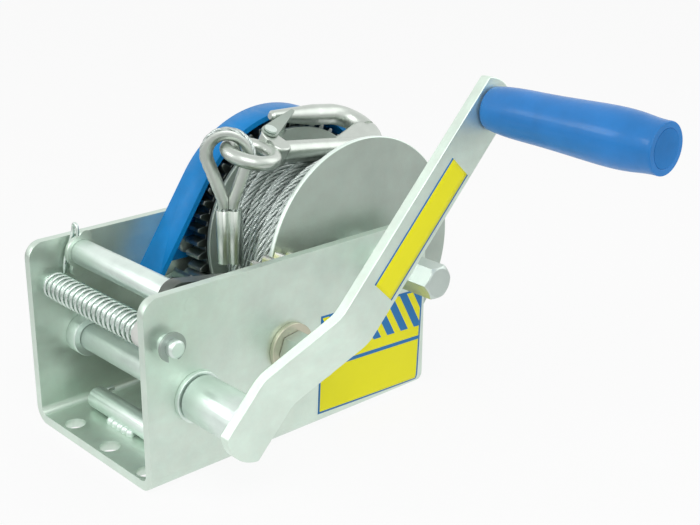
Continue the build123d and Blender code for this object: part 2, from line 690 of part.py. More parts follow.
def grip_spindle():
    head = GRIP_END + GRIP_POCKET_DEPTH - GRIP_PLAY
    return turned(GRIP_AXIS, [
        (UPPER_FACE + SPINDLE_HEAD_THICK, 0), (UPPER_FACE + SPINDLE_HEAD_THICK, SPINDLE_HEAD - HEAD_CHAMFER),
        (UPPER_FACE, SPINDLE_HEAD), (UPPER_FACE, SPINDLE), (head, SPINDLE), (head, SPINDLE_HEAD),
        (head - SPINDLE_HEAD_THICK, SPINDLE_HEAD), (head - SPINDLE_HEAD_THICK, 0),
    ])


def grip():
    """A handle with a smooth swell, bored for its spindle and pocketed at the end for its cap."""
    pocket = GRIP_END + GRIP_POCKET_DEPTH
    bore = SPINDLE + RUNNING
    swell = Spline(*[(GRIP_START - share * GRIP_LENGTH, radius) for share, radius in GRIP_RADII])
    inside = Polyline(swell @ 1, (GRIP_END, GRIP_POCKET), (pocket, GRIP_POCKET), (pocket, bore),
                      (GRIP_START, bore), swell @ 0)
    plane = Plane(origin=(GRIP_AXIS[0], 0, GRIP_AXIS[1]), x_dir=(0, 1, 0), z_dir=(1, 0, 0))
    return revolve(plane * make_face(swell + inside), Axis((GRIP_AXIS[0], 0, GRIP_AXIS[1]), (0, 1, 0)))


def grip_cap():
    return rod(GRIP_AXIS, GRIP_POCKET - SEAT, GRIP_END, GRIP_END + CAP_THICK)


# Pawl

def pawl_finger():
    """The finger that drops into the reduction gear, thick at its eye and thin at its nose."""
    nose = beyond(PAWL_AXIS, FINGER_ANGLE, FINGER_REACH)
    thin = FINGER_NOSE / 2
    side = make_hull((Pos(*PAWL_AXIS) * Circle(FINGER_ROOT)).edges() + (Pos(*nose) * Circle(thin)).edges())
    side -= Pos(*PAWL_AXIS) * Circle(PAWL_SLEEVE + SEAT)
    return across(side, FINGER_NEAR, FINGER_NEAR + FINGER_WIDTH)


def pawl_lever():
    """The lever at the far end, with one lug for the spring's leg and one for the thumb."""
    plate = Pos(*PAWL_AXIS) * Circle(LEVER_EYE)
    plate += link(PAWL_AXIS, LEVER_UPPER, LEVER_WIDE) + link(PAWL_AXIS, LEVER_LOWER, LEVER_WIDE)
    plate -= Pos(*PAWL_AXIS) * Circle(PAWL_SLEEVE + SEAT)
    return across(plate, LEVER_NEAR, LEVER_NEAR + LEVER_THICK)


# Pawl spring and its pin

def pawl_spring():
    height = SPRING_PITCH * SPRING_TURNS
    place = Plane(origin=(SPRING_AXIS[0], SPRING_FAR, SPRING_AXIS[1]), x_dir=(1, 0, 0), z_dir=(0, -1, 0))
    coil = place * Helix(SPRING_PITCH, height, SPRING_RADIUS, lefthand=True)
    start = Plane(origin=coil @ 0, z_dir=coil % 0)
    wire = sweep(start * Circle(SPRING_WIRE), path=coil, is_frenet=True)
    bends = [(x, SPRING_FAR + y, z) for x, y, z in SPRING_LEG]
    leg = FilletPolyline(coil @ 0, *bends, radius=SPRING_LEG_BENDS)
    return wire + sweep(Plane(origin=leg @ 0, z_dir=leg % 0) * Circle(SPRING_WIRE), path=leg)


def spring_pin():
    groove = RING_PLACE + RING_WIDTH
    head = FAR_OUT + SPRING_PIN_HEAD_THICK
    return turned(SPRING_AXIS, [
        (SPRING_PIN_END, 0), (SPRING_PIN_END, SPRING_PIN - HEAD_CHAMFER),
        (SPRING_PIN_END + HEAD_CHAMFER, SPRING_PIN), (RING_PLACE, SPRING_PIN), (RING_PLACE, RING_GROOVE),
        (groove, RING_GROOVE), (groove, SPRING_PIN), (FAR_OUT, SPRING_PIN), (FAR_OUT, SPRING_PIN_HEAD),
        (head, SPRING_PIN_HEAD - HEAD_CHAMFER), (head, 0),
    ])


def spring_ring():
    ring = Circle(RING_RIM) - Circle(RING_GROOVE + SEAT)
    ring -= Pos(0, -RING_RIM) * Rectangle(RING_GAP, 2 * RING_RIM)
    return across(Pos(*SPRING_AXIS) * ring, RING_PLACE + SEAT, RING_PLACE + RING_WIDTH - SEAT)


def spring_collar():
    coil_end = SPRING_FAR - SPRING_PITCH * SPRING_TURNS - SPRING_WIRE - SIDE_PLAY
    return sleeve(SPRING_AXIS, COLLAR, SPRING_PIN + RUNNING, NEAR_IN + SEAT, coil_end)


# Lower stay and its weld

def lower_stay():
    bar = rod(STAY_AXIS, STAY, STAY_NEAR, STAY_FAR)
    place = (STAY_AXIS[0], STAY_FAR - STAY_FINGER_INSET, STAY_AXIS[1] + STAY_FINGER_RISE)
    finger = Plane(origin=place, z_dir=(1, 0, 0)) * Circle(STAY_FINGER)
    return bar + extrude(finger, amount=STAY_FINGER_REACH)


def stay_foot():
    """A weld bead of overlapping lumps in the corner between the stay and the base."""
    bead = None
    for step in range(BEADS):
        station = BEAD_START + step * BEAD_PITCH
        lump = Pos(STAY_PLACE - BEAD_OFFSET, station, PLATE + BEAD_RISE) * Sphere(BEAD)
        bead = bead + lump if bead else lump
    base = Pos(STAY_PLACE, 0, PLATE / 2) * Box(FRAME_LENGTH, FRAME_WIDTH, PLATE)
    return bead - base - rod(STAY_AXIS, STAY + SEAT, NEAR_IN, FAR_IN)


PIECES = {
    "frame": frame(),
    "drum_shaft": shaft(DRUM_AXIS, DRUM_SHAFT, DRUM_HEX, 0),
    "drum_circlip": circlip(DRUM_AXIS, DRUM_SHAFT),
    "drum_near_bush": near_bush(DRUM_AXIS, DRUM_SHAFT),
    "drum_far_bush": far_bush(DRUM_AXIS, DRUM_SHAFT, DRUM_BOSS_LENGTH),
    "drum_near_spacer": on_drum(NEAR_SPACER, NEAR_IN + SIDE_PLAY, NEAR_FLANGE_Y),
    "drum_near_flange": on_drum(NEAR_FLANGE, NEAR_FLANGE_Y, PACK_NEAR),
    "drum_barrel": sleeve(DRUM_AXIS, BARREL, BARREL - BARREL_WALL, PACK_NEAR, PACK_FAR),
    "drum_far_flange": on_drum(FAR_FLANGE, PACK_FAR, FAR_FLANGE_FAR),
    "drum_gear_spacer": on_drum(GEAR_SPACER, FAR_FLANGE_FAR, DRUM_GEAR_NEAR),
    "drum_gear": drum_gear(),
    "rope_near_pile": pack_ring(NEAR_PILE, PACK_NEAR + PACK_PLAY, NEAR_PILE_FAR, PILE_SAG),
    "rope_valley": pack_ring(VALLEY, NEAR_PILE_FAR, PACK_FAR - FAR_PILE_WIDTH),
    "rope_far_pile": pack_ring(FAR_PILE, PACK_FAR - FAR_PILE_WIDTH, PACK_FAR - PACK_PLAY),
    "reduction_shaft": shaft(REDUCTION_AXIS, SMALL_SHAFT, REDUCTION_HEX, INPUT_ANGLE),
    "reduction_circlip": circlip(REDUCTION_AXIS, SMALL_SHAFT),
    "reduction_near_bush": near_bush(REDUCTION_AXIS, SMALL_SHAFT),
    "reduction_far_bush": far_bush(REDUCTION_AXIS, SMALL_SHAFT, REDUCTION_BOSS_LENGTH),
    "reduction_gear": reduction_gear(),
    "drum_pinion": drum_pinion(),
    "input_shaft": shaft(INPUT_AXIS, SMALL_SHAFT, INPUT_HEX, CRANK_ANGLE),
    "input_circlip": circlip(INPUT_AXIS, SMALL_SHAFT),
    "input_near_bush": near_bush(INPUT_AXIS, SMALL_SHAFT),
    "input_far_bush": far_bush(INPUT_AXIS, SMALL_SHAFT, INPUT_BOSS_LENGTH),
    "input_pinion": input_pinion(),
    "crank_hub": crank_hub(),
    "crank_arm": crank_arm(),
    "grip_spindle": grip_spindle(),
    "grip": grip(),
    "grip_cap": grip_cap(),
    "pawl_pin": rod(PAWL_AXIS, PAWL_PIN, NEAR_OUT, FAR_OUT),
    "pawl_sleeve": sleeve(PAWL_AXIS, PAWL_SLEEVE, PAWL_PIN + RUNNING, PAWL_SLEEVE_NEAR, PAWL_SLEEVE_FAR),
    "pawl_finger": pawl_finger(),
    "pawl_lever": pawl_lever(),
    "pawl_spring": pawl_spring(),
    "spring_pin": spring_pin(),
    "spring_collar": spring_collar(),
    "spring_ring": spring_ring(),
    "lower_stay": lower_stay(),
    "stay_foot": stay_foot(),
    "gear_guard": gear_guard(),
    "guard_screws": Compound([guard_screw(place) for place in GUARD_SCREWS]),
    "rope_tail": rope_tail(),
    "rope_loop": along_loop(Circle(ROPE), with_legs=True),
    "rope_ferrule": ferrule(),
    "thimble": thimble(),
    "snap_hook": snap_hook(),
    "hook_latch": hook_latch(),
    "latch_rivet": latch_rivet(),
}

os.makedirs("parts", exist_ok=True)
for name, piece in PIECES.items():
    export_step(piece, "parts/" + name + ".step")
    box = piece.bounding_box()
    print(name, round(piece.volume, 1), [round(v, 1) for v in (*box.min, *box.max)])
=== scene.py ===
import json
from math import atan2, cos, pi, radians, sin, tan

import bpy
from bpy.props import FloatProperty, FloatVectorProperty, IntProperty, PointerProperty
from mathutils import Matrix, Vector


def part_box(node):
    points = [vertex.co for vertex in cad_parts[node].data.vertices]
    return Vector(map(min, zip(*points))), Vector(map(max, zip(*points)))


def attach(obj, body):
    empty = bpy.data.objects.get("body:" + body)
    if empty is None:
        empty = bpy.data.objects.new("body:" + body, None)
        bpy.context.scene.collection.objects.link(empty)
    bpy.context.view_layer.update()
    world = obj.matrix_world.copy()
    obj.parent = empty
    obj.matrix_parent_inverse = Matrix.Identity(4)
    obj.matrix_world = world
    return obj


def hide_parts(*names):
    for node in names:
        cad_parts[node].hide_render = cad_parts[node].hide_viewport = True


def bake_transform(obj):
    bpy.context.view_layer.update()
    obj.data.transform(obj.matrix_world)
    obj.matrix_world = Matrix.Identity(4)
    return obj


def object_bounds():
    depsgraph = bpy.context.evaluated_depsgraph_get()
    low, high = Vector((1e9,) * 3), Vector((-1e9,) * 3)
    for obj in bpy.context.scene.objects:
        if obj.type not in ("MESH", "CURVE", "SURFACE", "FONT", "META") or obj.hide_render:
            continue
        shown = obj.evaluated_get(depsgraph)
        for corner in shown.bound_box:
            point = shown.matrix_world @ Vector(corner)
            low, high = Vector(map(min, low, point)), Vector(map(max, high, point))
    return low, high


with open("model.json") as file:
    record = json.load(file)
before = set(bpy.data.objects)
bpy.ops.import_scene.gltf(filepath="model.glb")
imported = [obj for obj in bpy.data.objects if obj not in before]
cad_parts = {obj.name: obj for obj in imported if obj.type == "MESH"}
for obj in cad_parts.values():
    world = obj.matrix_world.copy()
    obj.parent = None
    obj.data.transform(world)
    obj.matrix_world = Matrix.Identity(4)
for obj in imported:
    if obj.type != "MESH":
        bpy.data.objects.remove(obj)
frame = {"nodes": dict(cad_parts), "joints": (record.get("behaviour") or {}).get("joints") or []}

bl_info = {
    "name": "Trailer winch looks",
    "version": (1, 0, 0),
    "blender": (4, 5, 0),
    "location": "3D View > Sidebar > Winch",
    "description": "Finishes, rope, spring, crank bar, labels and stage for a hand-cranked trailer winch",
    "category": "Object",
}

CAD_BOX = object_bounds()
NODES = frame["nodes"]
JOINTS = {joint["name"]: joint for joint in frame["joints"]}
DRUM_AXIS = Vector(JOINTS["drum_turn"]["pos_m"])
REDUCTION_AXIS = Vector(JOINTS["reduction_turn"]["pos_m"])
CRANK_AXIS = Vector(JOINTS["crank_turn"]["pos_m"])
GRIP_AXIS = Vector(JOINTS["grip_spin"]["pos_m"])
MM = 0.001


# Sizes and colours that a user would change

class RopeSettings(bpy.types.PropertyGroup):
    """Sizes of the wire rope."""
    diameter: FloatProperty(
        name="Diameter", description="Diameter of the wire rope", default=0.006, unit="LENGTH")
    lay: FloatProperty(
        name="Lay", description="Length of rope in which a strand goes once round it", default=0.034,
        unit="LENGTH")
    strands: IntProperty(
        name="Strands", description="Number of strands round the rope", default=6, min=3)
    sides: IntProperty(
        name="Strand sides", description="Number of faces round one strand", default=6, min=3)


class ColourSettings(bpy.types.PropertyGroup):
    """Colours of the finishes."""
    zinc: FloatVectorProperty(
        name="Zinc", description="Satin zinc on the plates", subtype="COLOR",
        default=(0.69, 0.815, 0.725))
    turned: FloatVectorProperty(
        name="Turned steel", description="Plated shafts and bushes", subtype="COLOR",
        default=(0.80, 0.91, 0.85))
    bush: FloatVectorProperty(
        name="Sintered bush", description="Bush of the middle shaft", subtype="COLOR",
        default=(0.62, 0.60, 0.47))
    yellow_zinc: FloatVectorProperty(
        name="Yellow zinc", description="Plating of the reduction gear", subtype="COLOR",
        default=(0.40, 0.43, 0.25))
    gear: FloatVectorProperty(
        name="Gear steel", description="Dark steel of the gears", subtype="COLOR",
        default=(0.20, 0.23, 0.215))
    rope: FloatVectorProperty(
        name="Rope", description="Galvanised wire", subtype="COLOR", default=(0.66, 0.73, 0.70))
    forged: FloatVectorProperty(
        name="Forging", description="Galvanised hook and thimble", subtype="COLOR",
        default=(0.62, 0.67, 0.62))
    guard: FloatVectorProperty(
        name="Guard", description="Blue plastic of the gear guard", subtype="COLOR",
        default=(0.003, 0.25, 0.66))
    grip: FloatVectorProperty(
        name="Grip", description="Blue plastic of the grip", subtype="COLOR",
        default=(0.018, 0.22, 0.62))
    nylon: FloatVectorProperty(
        name="Nylon", description="White plastic of the spring's collar", subtype="COLOR",
        default=(0.72, 0.74, 0.70))
    label_field: FloatVectorProperty(
        name="Label field", description="Yellow of the labels", subtype="COLOR",
        default=(1.0, 0.94, 0.012))
    label_mark: FloatVectorProperty(
        name="Label mark", description="Blue of the labels' stripes", subtype="COLOR",
        default=(0.02, 0.20, 0.52))


class StageSettings(bpy.types.PropertyGroup):
    """Light and floor."""
    key_power: FloatProperty(
        name="Key lamp", description="Power of the large lamp at the front", default=4.6, unit="POWER")
    fill_power: FloatProperty(
        name="Fill lamp", description="Power of the lamp at the right", default=2.0, unit="POWER")
    side_power: FloatProperty(
        name="Side lamp", description="Power of the small lamp at the left, behind the winch",
        default=1.5, unit="POWER")
    sky: FloatProperty(
        name="Sky", description="Strength of the even light from all round", default=0.55, min=0.0)
    ceiling: FloatProperty(
        name="Ceiling", description="How bright the sky overhead mirrors, next to white at the horizon",
        default=0.85, min=0.0, max=1.0, subtype="FACTOR")
    sheet_edge: FloatProperty(
        name="Sheet edge",
        description="How bright the floor mirrors away from the winch, next to white under it",
        default=0.5, min=0.0, max=1.0, subtype="FACTOR")
    floor_shade: FloatProperty(
        name="Floor shade", description="How much of the object's shadow the floor shows", default=0.1,
        min=0.0, max=1.0, subtype="FACTOR")


# Node trees

class Nodes:
    """A node tree that is filled node by node."""

    def __init__(self, tree):
        self.tree = tree
        tree.nodes.clear()

    def add(self, kind, values=(), **settings):
        """A node with its settings, and its inputs set to values or linked to sockets."""
        made = self.tree.nodes.new(kind)
        for key, value in settings.items():
            setattr(made, key, value)
        for socket, value in values:
            self.feed(made.inputs[socket], value)
        return made

    def feed(self, socket, value):
        if isinstance(value, bpy.types.NodeSocket):
            self.tree.links.new(value, socket)
        elif socket.type == "RGBA":
            socket.default_value = (*value, 1.0)
        else:
            socket.default_value = value

    def math(self, operation, *values):
        return self.add("ShaderNodeMath", enumerate(values), operation=operation).outputs[0]

    def spread(self, value, low, high, start=0.3, end=0.7):
        """A value between start and end carried over to low and high."""
        return self.add("ShaderNodeMapRange", enumerate((value, start, end, low, high))).outputs[0]


class Finish(Nodes):
    """A procedural finish: one Principled shader and the nodes that feed it."""

    def __init__(self, name, **sockets):
        self.material = bpy.data.materials.new(name)
        self.material.use_nodes = True
        super().__init__(self.material.node_tree)
        self.shader = self.add("ShaderNodeBsdfPrincipled")
        self.add("ShaderNodeOutputMaterial", [(0, self.shader.outputs[0])])
        self.place = self.add("ShaderNodeTexCoord").outputs["Object"]
        self.set(**sockets)

    def set(self, **sockets):
        for key, value in sockets.items():
            self.feed(self.shader.inputs[key.replace("_", " ")], value)
        return self

    def attribute(self, name, output="Fac"):
        return self.add("ShaderNodeAttribute", attribute_name=name).outputs[output]

    def stretched(self, scale):
        return self.add("ShaderNodeMapping", [("Vector", self.place), ("Scale", scale)]).outputs[0]

    def noise(self, scale, detail=4.0, roughness=0.55, vector=None):
        return self.add("ShaderNodeTexNoise", [("Vector", vector or self.place), ("Scale", scale),
                                               ("Detail", detail), ("Roughness", roughness)]).outputs[0]

    def streaks(self, scale):
        """Noise with a scale of its own along each axis."""
        return self.noise(scale=1.0, detail=2.0, roughness=0.5, vector=self.stretched(scale))

    def step(self, value, edge, soft):
        """0 below the edge and 1 above it."""
        return self.spread(value, 0.0, 1.0, edge - soft, edge + soft)

    def mix(self, share, first, second):
        values = [(0, share), (6, first), (7, second)]
        return self.add("ShaderNodeMix", values, data_type="RGBA").outputs[2]

    def clouded(self, share, colour, dark, light):
        """A colour between a darker and a lighter shade of itself."""
        return self.mix(share, shade(colour, dark), shade(colour, light))

    def side_view(self, centre):
        """Places along x and z from a centre."""
        place = self.add("ShaderNodeSeparateXYZ", [(0, self.place)]).outputs
        return self.math("SUBTRACT", place[0], centre[0]), self.math("SUBTRACT", place[2], centre[1])

    def reach(self, axis):
        """Distance from a cross axis."""
        x, z = self.side_view((axis.x, axis.z))
        squares = self.math("ADD", self.math("MULTIPLY", x, x), self.math("MULTIPLY", z, z))
        return self.math("SQRT", squares)

    def bump(self, height, distance):
        values = [("Height", height), ("Distance", distance), ("Strength", 1.0)]
        return self.set(Normal=self.add("ShaderNodeBump", values).outputs[0])


def shade(colour, factor):
    return tuple(part * factor for part in colour)


# Finishes

# Wires round a strand, and how far they turn about it, in radians per metre of rope
WIRES_PER_STRAND = 6.0
WIRE_TWIST = -2400.0


def satin_zinc(name, colour, metal=0.85, highlit_rim=None):
    """Plated sheet: faint clouds in the plating, rolling marks, a fine tooth, and a painted highlight on
    the rim if one is given.
    """
    finish = Finish(name, Metallic=metal)
    clouds = finish.noise(scale=38.0, detail=5.0, roughness=0.6)
    rolled = finish.noise(scale=90.0, detail=3.0, roughness=0.5,
                          vector=finish.stretched((0.35, 2.0, 2.0)))
    blotch = finish.spread(finish.noise(scale=160.0, detail=2.0), 0.0, 0.25)
    tone = finish.clouded(finish.spread(clouds, 0.0, 1.0), colour, 0.90, 1.08)
    tone = finish.mix(blotch, tone, shade((0.95, 0.98, 0.88), colour[1] * 0.85))
    if highlit_rim:
        axis, radius = highlit_rim
        # The rim is painted lighter: a painted highlight along the edge of the flange.
        painted_rim_highlight = finish.step(finish.reach(axis), edge=radius - 0.0005, soft=0.0003)
        tone = finish.mix(painted_rim_highlight, tone, shade(colour, 1.9))
    rough = finish.math("ADD", finish.spread(rolled, 0.0, 0.12), finish.spread(clouds, 0.32, 0.42))
    finish.set(Base_Color=tone, Roughness=rough)
    tooth = finish.noise(scale=900.0, detail=2.0)
    height = finish.math("ADD", tooth, finish.math("MULTIPLY", rolled, 2.0))
    return finish.bump(height, distance=0.00006).material


def turned_steel(name, colour):
    """Lathe-turned and plated: fine rings along the cross axis."""
    finish = Finish(name, Metallic=0.85)
    rings = finish.streaks((20.0, 1500.0, 20.0))
    tone = finish.clouded(finish.spread(finish.noise(scale=60.0), 0.0, 1.0), colour, 0.92, 1.06)
    finish.set(Base_Color=tone, Roughness=finish.spread(rings, 0.32, 0.44))
    return finish.bump(finish.math("ADD", rings, finish.noise(scale=500.0)), distance=0.00003).material


def gear_steel(name, colour, axis, root, tip):
    """Gear blank with dark greasy flanks and bright worn tooth tips."""
    finish = Finish(name, Metallic=1.0)
    reach = finish.reach(axis)
    patch = finish.noise(scale=220.0)
    ragged = finish.math("ADD", reach, finish.spread(patch, -0.0008, 0.0008))
    worn = finish.step(ragged, edge=tip - 0.0007, soft=0.0006)
    tone = finish.clouded(finish.spread(finish.noise(scale=90.0), 0.0, 1.0), colour, 0.7, 1.35)
    tone = finish.mix(finish.step(reach, edge=root + 0.001, soft=0.002), tone, shade(colour, 1.5))
    tone = finish.mix(worn, tone, (0.62, 0.63, 0.60))
    finish.set(Base_Color=tone, Roughness=finish.spread(patch, 0.3, 0.48))
    return finish.bump(finish.noise(scale=700.0), distance=0.00008).material


def forged_steel(name, colour):
    """Galvanised forging: faint spangle and soft lumps."""
    finish = Finish(name, Metallic=1.0)
    cells = finish.add("ShaderNodeTexVoronoi", [("Vector", finish.place), ("Scale", 260.0)])
    spangle = finish.add("ShaderNodeSeparateColor", [(0, cells.outputs["Color"])]).outputs[0]
    lumps = finish.noise(scale=90.0, detail=3.0)
    tone = finish.clouded(spangle, colour, 0.97, 1.03)
    tone = finish.mix(finish.spread(lumps, 0.0, 0.4), tone, shade(colour, 0.86))
    finish.set(Base_Color=tone, Roughness=finish.spread(lumps, 0.28, 0.38))
    return finish.bump(lumps, distance=0.00012).material


def drawn_wire(name, colour):
    """Bright spring wire with drawing lines."""
    finish = Finish(name, Metallic=1.0)
    lines = finish.streaks((240.0, 60.0, 240.0))
    tone = finish.clouded(finish.spread(lines, 0.0, 1.0), colour, 0.8, 1.15)
    finish.set(Base_Color=tone, Roughness=finish.spread(lines, 0.2, 0.36))
    return finish.bump(lines, distance=0.00002).material


def rope_wire(name, colour):
    """Strand of fine wires that wind round it, painted darker in the grooves between them as shade and
    lighter on their crests as highlight, with random grey dirt; the core is painted near-black as the
    shade between strands.
    """
    finish = Finish(name, Metallic=0.8)
    ring = finish.add("ShaderNodeSeparateXYZ", [(0, finish.attribute("ring", "Vector"))]).outputs
    turn = finish.math("MULTIPLY", finish.math("ARCTAN2", ring[1], ring[0]), WIRES_PER_STRAND)
    twist = finish.math("MULTIPLY", finish.attribute("along"), WIRE_TWIST)
    wave = finish.math("SINE", finish.math("ADD", turn, twist))
    wire = finish.spread(wave, 0.0, 1.0, start=-1.0, end=0.6)
    dirt = finish.noise(scale=150.0)
    # Painted shade in the grooves between the wires and a painted highlight on their crests.
    tone = finish.clouded(wire, colour, 0.72, 1.1)
    tone = finish.mix(finish.spread(dirt, 0.0, 0.4), tone, shade(colour, 0.7))
    # The core, where strand is 0, is painted near-black: painted shade seen between the strands.
    tone = finish.mix(finish.attribute("strand"), shade(colour, 0.03), tone)
    finish.set(Base_Color=tone, Roughness=finish.spread(dirt, 0.28, 0.4))
    return finish.bump(wire, distance=0.0001).material


def rope_shade(name, colour):
    """Turns under the outer ones, painted dark as the shade they lie in."""
    finish = Finish(name, Metallic=1.0)
    values = [("Vector", finish.place), ("Scale", 52.0), ("Distortion", 1.0)]
    turns = finish.add("ShaderNodeTexWave", values, bands_direction="Y").outputs[1]
    finish.set(Base_Color=finish.clouded(turns, colour, 0.15, 0.4),
               Roughness=finish.spread(finish.noise(scale=200.0), 0.4, 0.6))
    return finish.bump(turns, distance=0.0004).material


def moulded_plastic(name, colour, rough, coat=0.0):
    """Moulded plastic with a faint grain, rubbed patches and, if it has a coat, a gloss."""
    finish = Finish(name, Specular_IOR_Level=0.25, Coat_Weight=coat, Coat_Roughness=0.15)
    patch = finish.noise(scale=45.0, detail=5.0)
    tone = finish.clouded(finish.spread(patch, 0.0, 1.0), colour, 0.88, 1.12)
    grain = finish.spread(finish.noise(scale=400.0), rough - 0.05, rough + 0.08)
    finish.set(Base_Color=tone, Roughness=grain)
    return finish.bump(finish.noise(scale=1600.0, detail=2.0), distance=0.00005).material


# Pieces and their meshes

# Widths of softened edges, in metres, and how sharp a corner has to be to have one
ROUND_EDGE = 0.0008
PLATE_EDGE = 0.0006
CAP_EDGE = 0.0005
TURNED_EDGE = 0.0004
FINE_EDGE = 0.0003
CORNER_ANGLE = radians(40)
MERGE_WITHIN = 0.000002


def dress(material, *names, edge=0.0):
    """Gives CAD nodes a finish, and a softened edge where one shows."""
    for name in names:
        node = NODES[name]
        node.data.materials.clear()
        node.data.materials.append(material)
        if edge:
            soften(node, edge)


def soften(piece, edge):
    weld = piece.modifiers.new("merge_corners", "WELD")
    weld.merge_threshold = MERGE_WITHIN
    bevel = piece.modifiers.new("soften_edges", "BEVEL")
    bevel.width = edge
    bevel.segments = 2
    bevel.limit_method = "ANGLE"
    bevel.angle_limit = CORNER_ANGLE
    bevel.harden_normals = True


def link(name, data):
    made = bpy.data.objects.new(name, data)
    bpy.context.scene.collection.objects.link(made)
    return made


def add_piece(name, mesh, body, replaced=()):
    made = link(name, mesh)
    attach(made, body)
    if replaced:
        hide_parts(*replaced)
    return made


def shell_mesh(name, points, faces):
    mesh = bpy.data.meshes.new(name)
    mesh.from_pydata(points, [], faces)
    return mesh


def plain_mesh(holder, name):
    """The evaluated object as a plain mesh; the object itself goes."""
    deps = bpy.context.evaluated_depsgraph_get()
    mesh = bpy.data.meshes.new_from_object(holder.evaluated_get(deps), preserve_all_data_layers=True,
                                           depsgraph=deps)
    mesh.name = name
    bpy.data.objects.remove(holder)
    if not mesh.vertices:
        raise RuntimeError(name + " came out empty")
    return mesh


def noded_mesh(name, lines, tree, values):
    """What a node tree makes along lines of points, with its inputs set by name."""
    points, edges = [], []
    for line in lines:
        start = len(points)
        points += line
        edges += [(step, step + 1) for step in range(start, len(points) - 1)]
    mesh = bpy.data.meshes.new(name + "_lines")
    mesh.from_pydata(points, edges, [])
    holder = link(name + "_lines", mesh)
    modifier = holder.modifiers.new(tree.name, "NODES")
    modifier.node_group = tree
    for socket in tree.interface.items_tree:
        if socket.in_out == "INPUT" and socket.name in values:
            modifier[socket.identifier] = values[socket.name]
    return plain_mesh(holder, name)


def nurbs_points(name, route):
    """Points along a smooth spline whose control points are the route, given in millimetres."""
    curve = bpy.data.curves.new(name, "CURVE")
    curve.dimensions = "3D"
    spline = curve.splines.new("NURBS")
    spline.points.add(len(route) - 1)
    for point, place in zip(spline.points, route):
        point.co = (*in_metres(place), 1.0)
    spline.order_u = 3
    spline.use_endpoint_u = True
    spline.resolution_u = 16
    return [vertex.co.copy() for vertex in plain_mesh(link(name, curve), name).vertices]


def in_metres(place):
    return tuple(part * MM for part in place)


class LineTree(Nodes):
    """A Geometry Nodes tree that takes lines of points and sweeps a mesh along them."""

    def __init__(self, name, inputs):
        super().__init__(bpy.data.node_groups.new(name, "GeometryNodeTree"))
        sockets = self.tree.interface
        sockets.new_socket("Geometry", in_out="INPUT", socket_type="NodeSocketGeometry")
        for key, kind in inputs:
            sockets.new_socket(key, in_out="INPUT", socket_type="NodeSocket" + kind)
        sockets.new_socket("Finish", in_out="INPUT", socket_type="NodeSocketMaterial")
        sockets.new_socket("Geometry", in_out="OUTPUT", socket_type="NodeSocketGeometry")
        self.given = self.add("NodeGroupInput").outputs
        self.line = self.add("GeometryNodeMeshToCurve", [(0, self.given["Geometry"])]).outputs[0]

    def vector(self, operation, *values):
        return self.add("ShaderNodeVectorMath", values, operation=operation).outputs[0]

    def scaled(self, vector, factor):
        return self.vector("SCALE", (0, vector), ("Scale", factor))

    def circle(self, sides, radius):
        values = [("Resolution", sides), ("Radius", radius)]
        return self.add("GeometryNodeCurvePrimitiveCircle", values).outputs[0]

    def mark(self, geometry, name, value, kind="FLOAT"):
        """Keeps a value on the geometry under a name that a finish can read."""
        values = [("Geometry", geometry), ("Name", name), ("Value", value)]
        return self.add("GeometryNodeStoreNamedAttribute", values, data_type=kind).outputs[0]

    def sweep(self, line, profile):
        values = [("Curve", line), ("Profile Curve", profile), ("Fill Caps", True)]
        return self.add("GeometryNodeCurveToMesh", values).outputs[0]

    def end(self, geometry):
        """Ends the tree with a smooth plain mesh in the given finish."""
        smooth = self.add("GeometryNodeSetShadeSmooth", [("Geometry", geometry)]).outputs[0]
        plain = self.add("GeometryNodeRealizeInstances", [(0, smooth)]).outputs[0]
        values = [("Geometry", plain), ("Material", self.given["Finish"])]
        dressed = self.add("GeometryNodeSetMaterial", values).outputs[0]
        self.add("NodeGroupOutput", [(0, dressed)])
        return self.tree


# Wire rope

# Shares of the rope's radius: how far out the strands lie, how thick they are, and the core
STRAND_OFFSET = 0.67
STRAND_SHARE = 0.32
CORE_SHARE = 0.5

# The rope's end and its eye, as in the part's source, in millimetres
TAIL_ROUTE = [(61.71, -4.0, 32.87), (53.04, -4.0, 33.18), (15.3, -3.3, 48.1), (6.3, -2.8, 58.8),
              (1.28, -2.1, 72.0), (1.28, -2.1, 84.0)]
LOOP_ROUTE = [(-3.1, 112.0), (-3.1, 117.6), (-6.1, 126.1), (-9.16, 134.6), (-13.4, 146.3), (-6.2, 156.5),
              (6.2, 156.5), (13.4, 146.3), (9.16, 134.6), (6.1, 126.1), (3.1, 117.6), (3.1, 112.0)]
LOOP_PLACE = (-1.0, 0.0)
LOOP_HEADING = radians(-42.7)

# Wraps of the wound rope in millimetres: station across, radius, and share of the pile's sag
PILE_SAG = (-3.4, -4.9)
NEAR_WRAPS = [(-30.35, 57.0, 1.0), (-24.2, 57.0, 1.0), (-18.1, 57.0, 1.0), (-18.0, 51.0, 0.5),
              (-17.9, 46.0, 0.1), (-11.8, 43.9, 0.0), (-5.6, 43.9, 0.0), (0.6, 43.9, 0.0)]
FAR_WRAPS = [(6.9, 43.9, 0.0), (11.2, 46.0, 0.0), (14.6, 49.6, 0.0), (20.8, 49.6, 0.0)]
UNDERLAY = [(-33.4, 38.2, 0.0), (-33.4, 55.6, 1.0), (-16.1, 55.6, 1.0), (-16.1, 42.4, 0.0),
            (8.6, 42.4, 0.0), (8.6, 44.2, 0.0), (11.5, 48.1, 0.0), (23.9, 48.1, 0.0), (23.9, 38.2, 0.0)]
UNDERLAY_SIDES = 96

# Knots at the two ends of each winding: the turn at which it is reached, and then as a wrap
NEAR_START = (-0.12, -30.35, 50.0, 1.0)
NEAR_LAST_TURN = 8.25
TAIL_CLIMB = (8.5, -1.9, 49.3, 0.0)
TAIL_EXIT = (9.089, -4.0, 50.3, 0.0)
FAR_START = (-0.12, 6.9, 40.0, 0.0)
FAR_END = (4.1, 20.8, 44.0, 0.0)

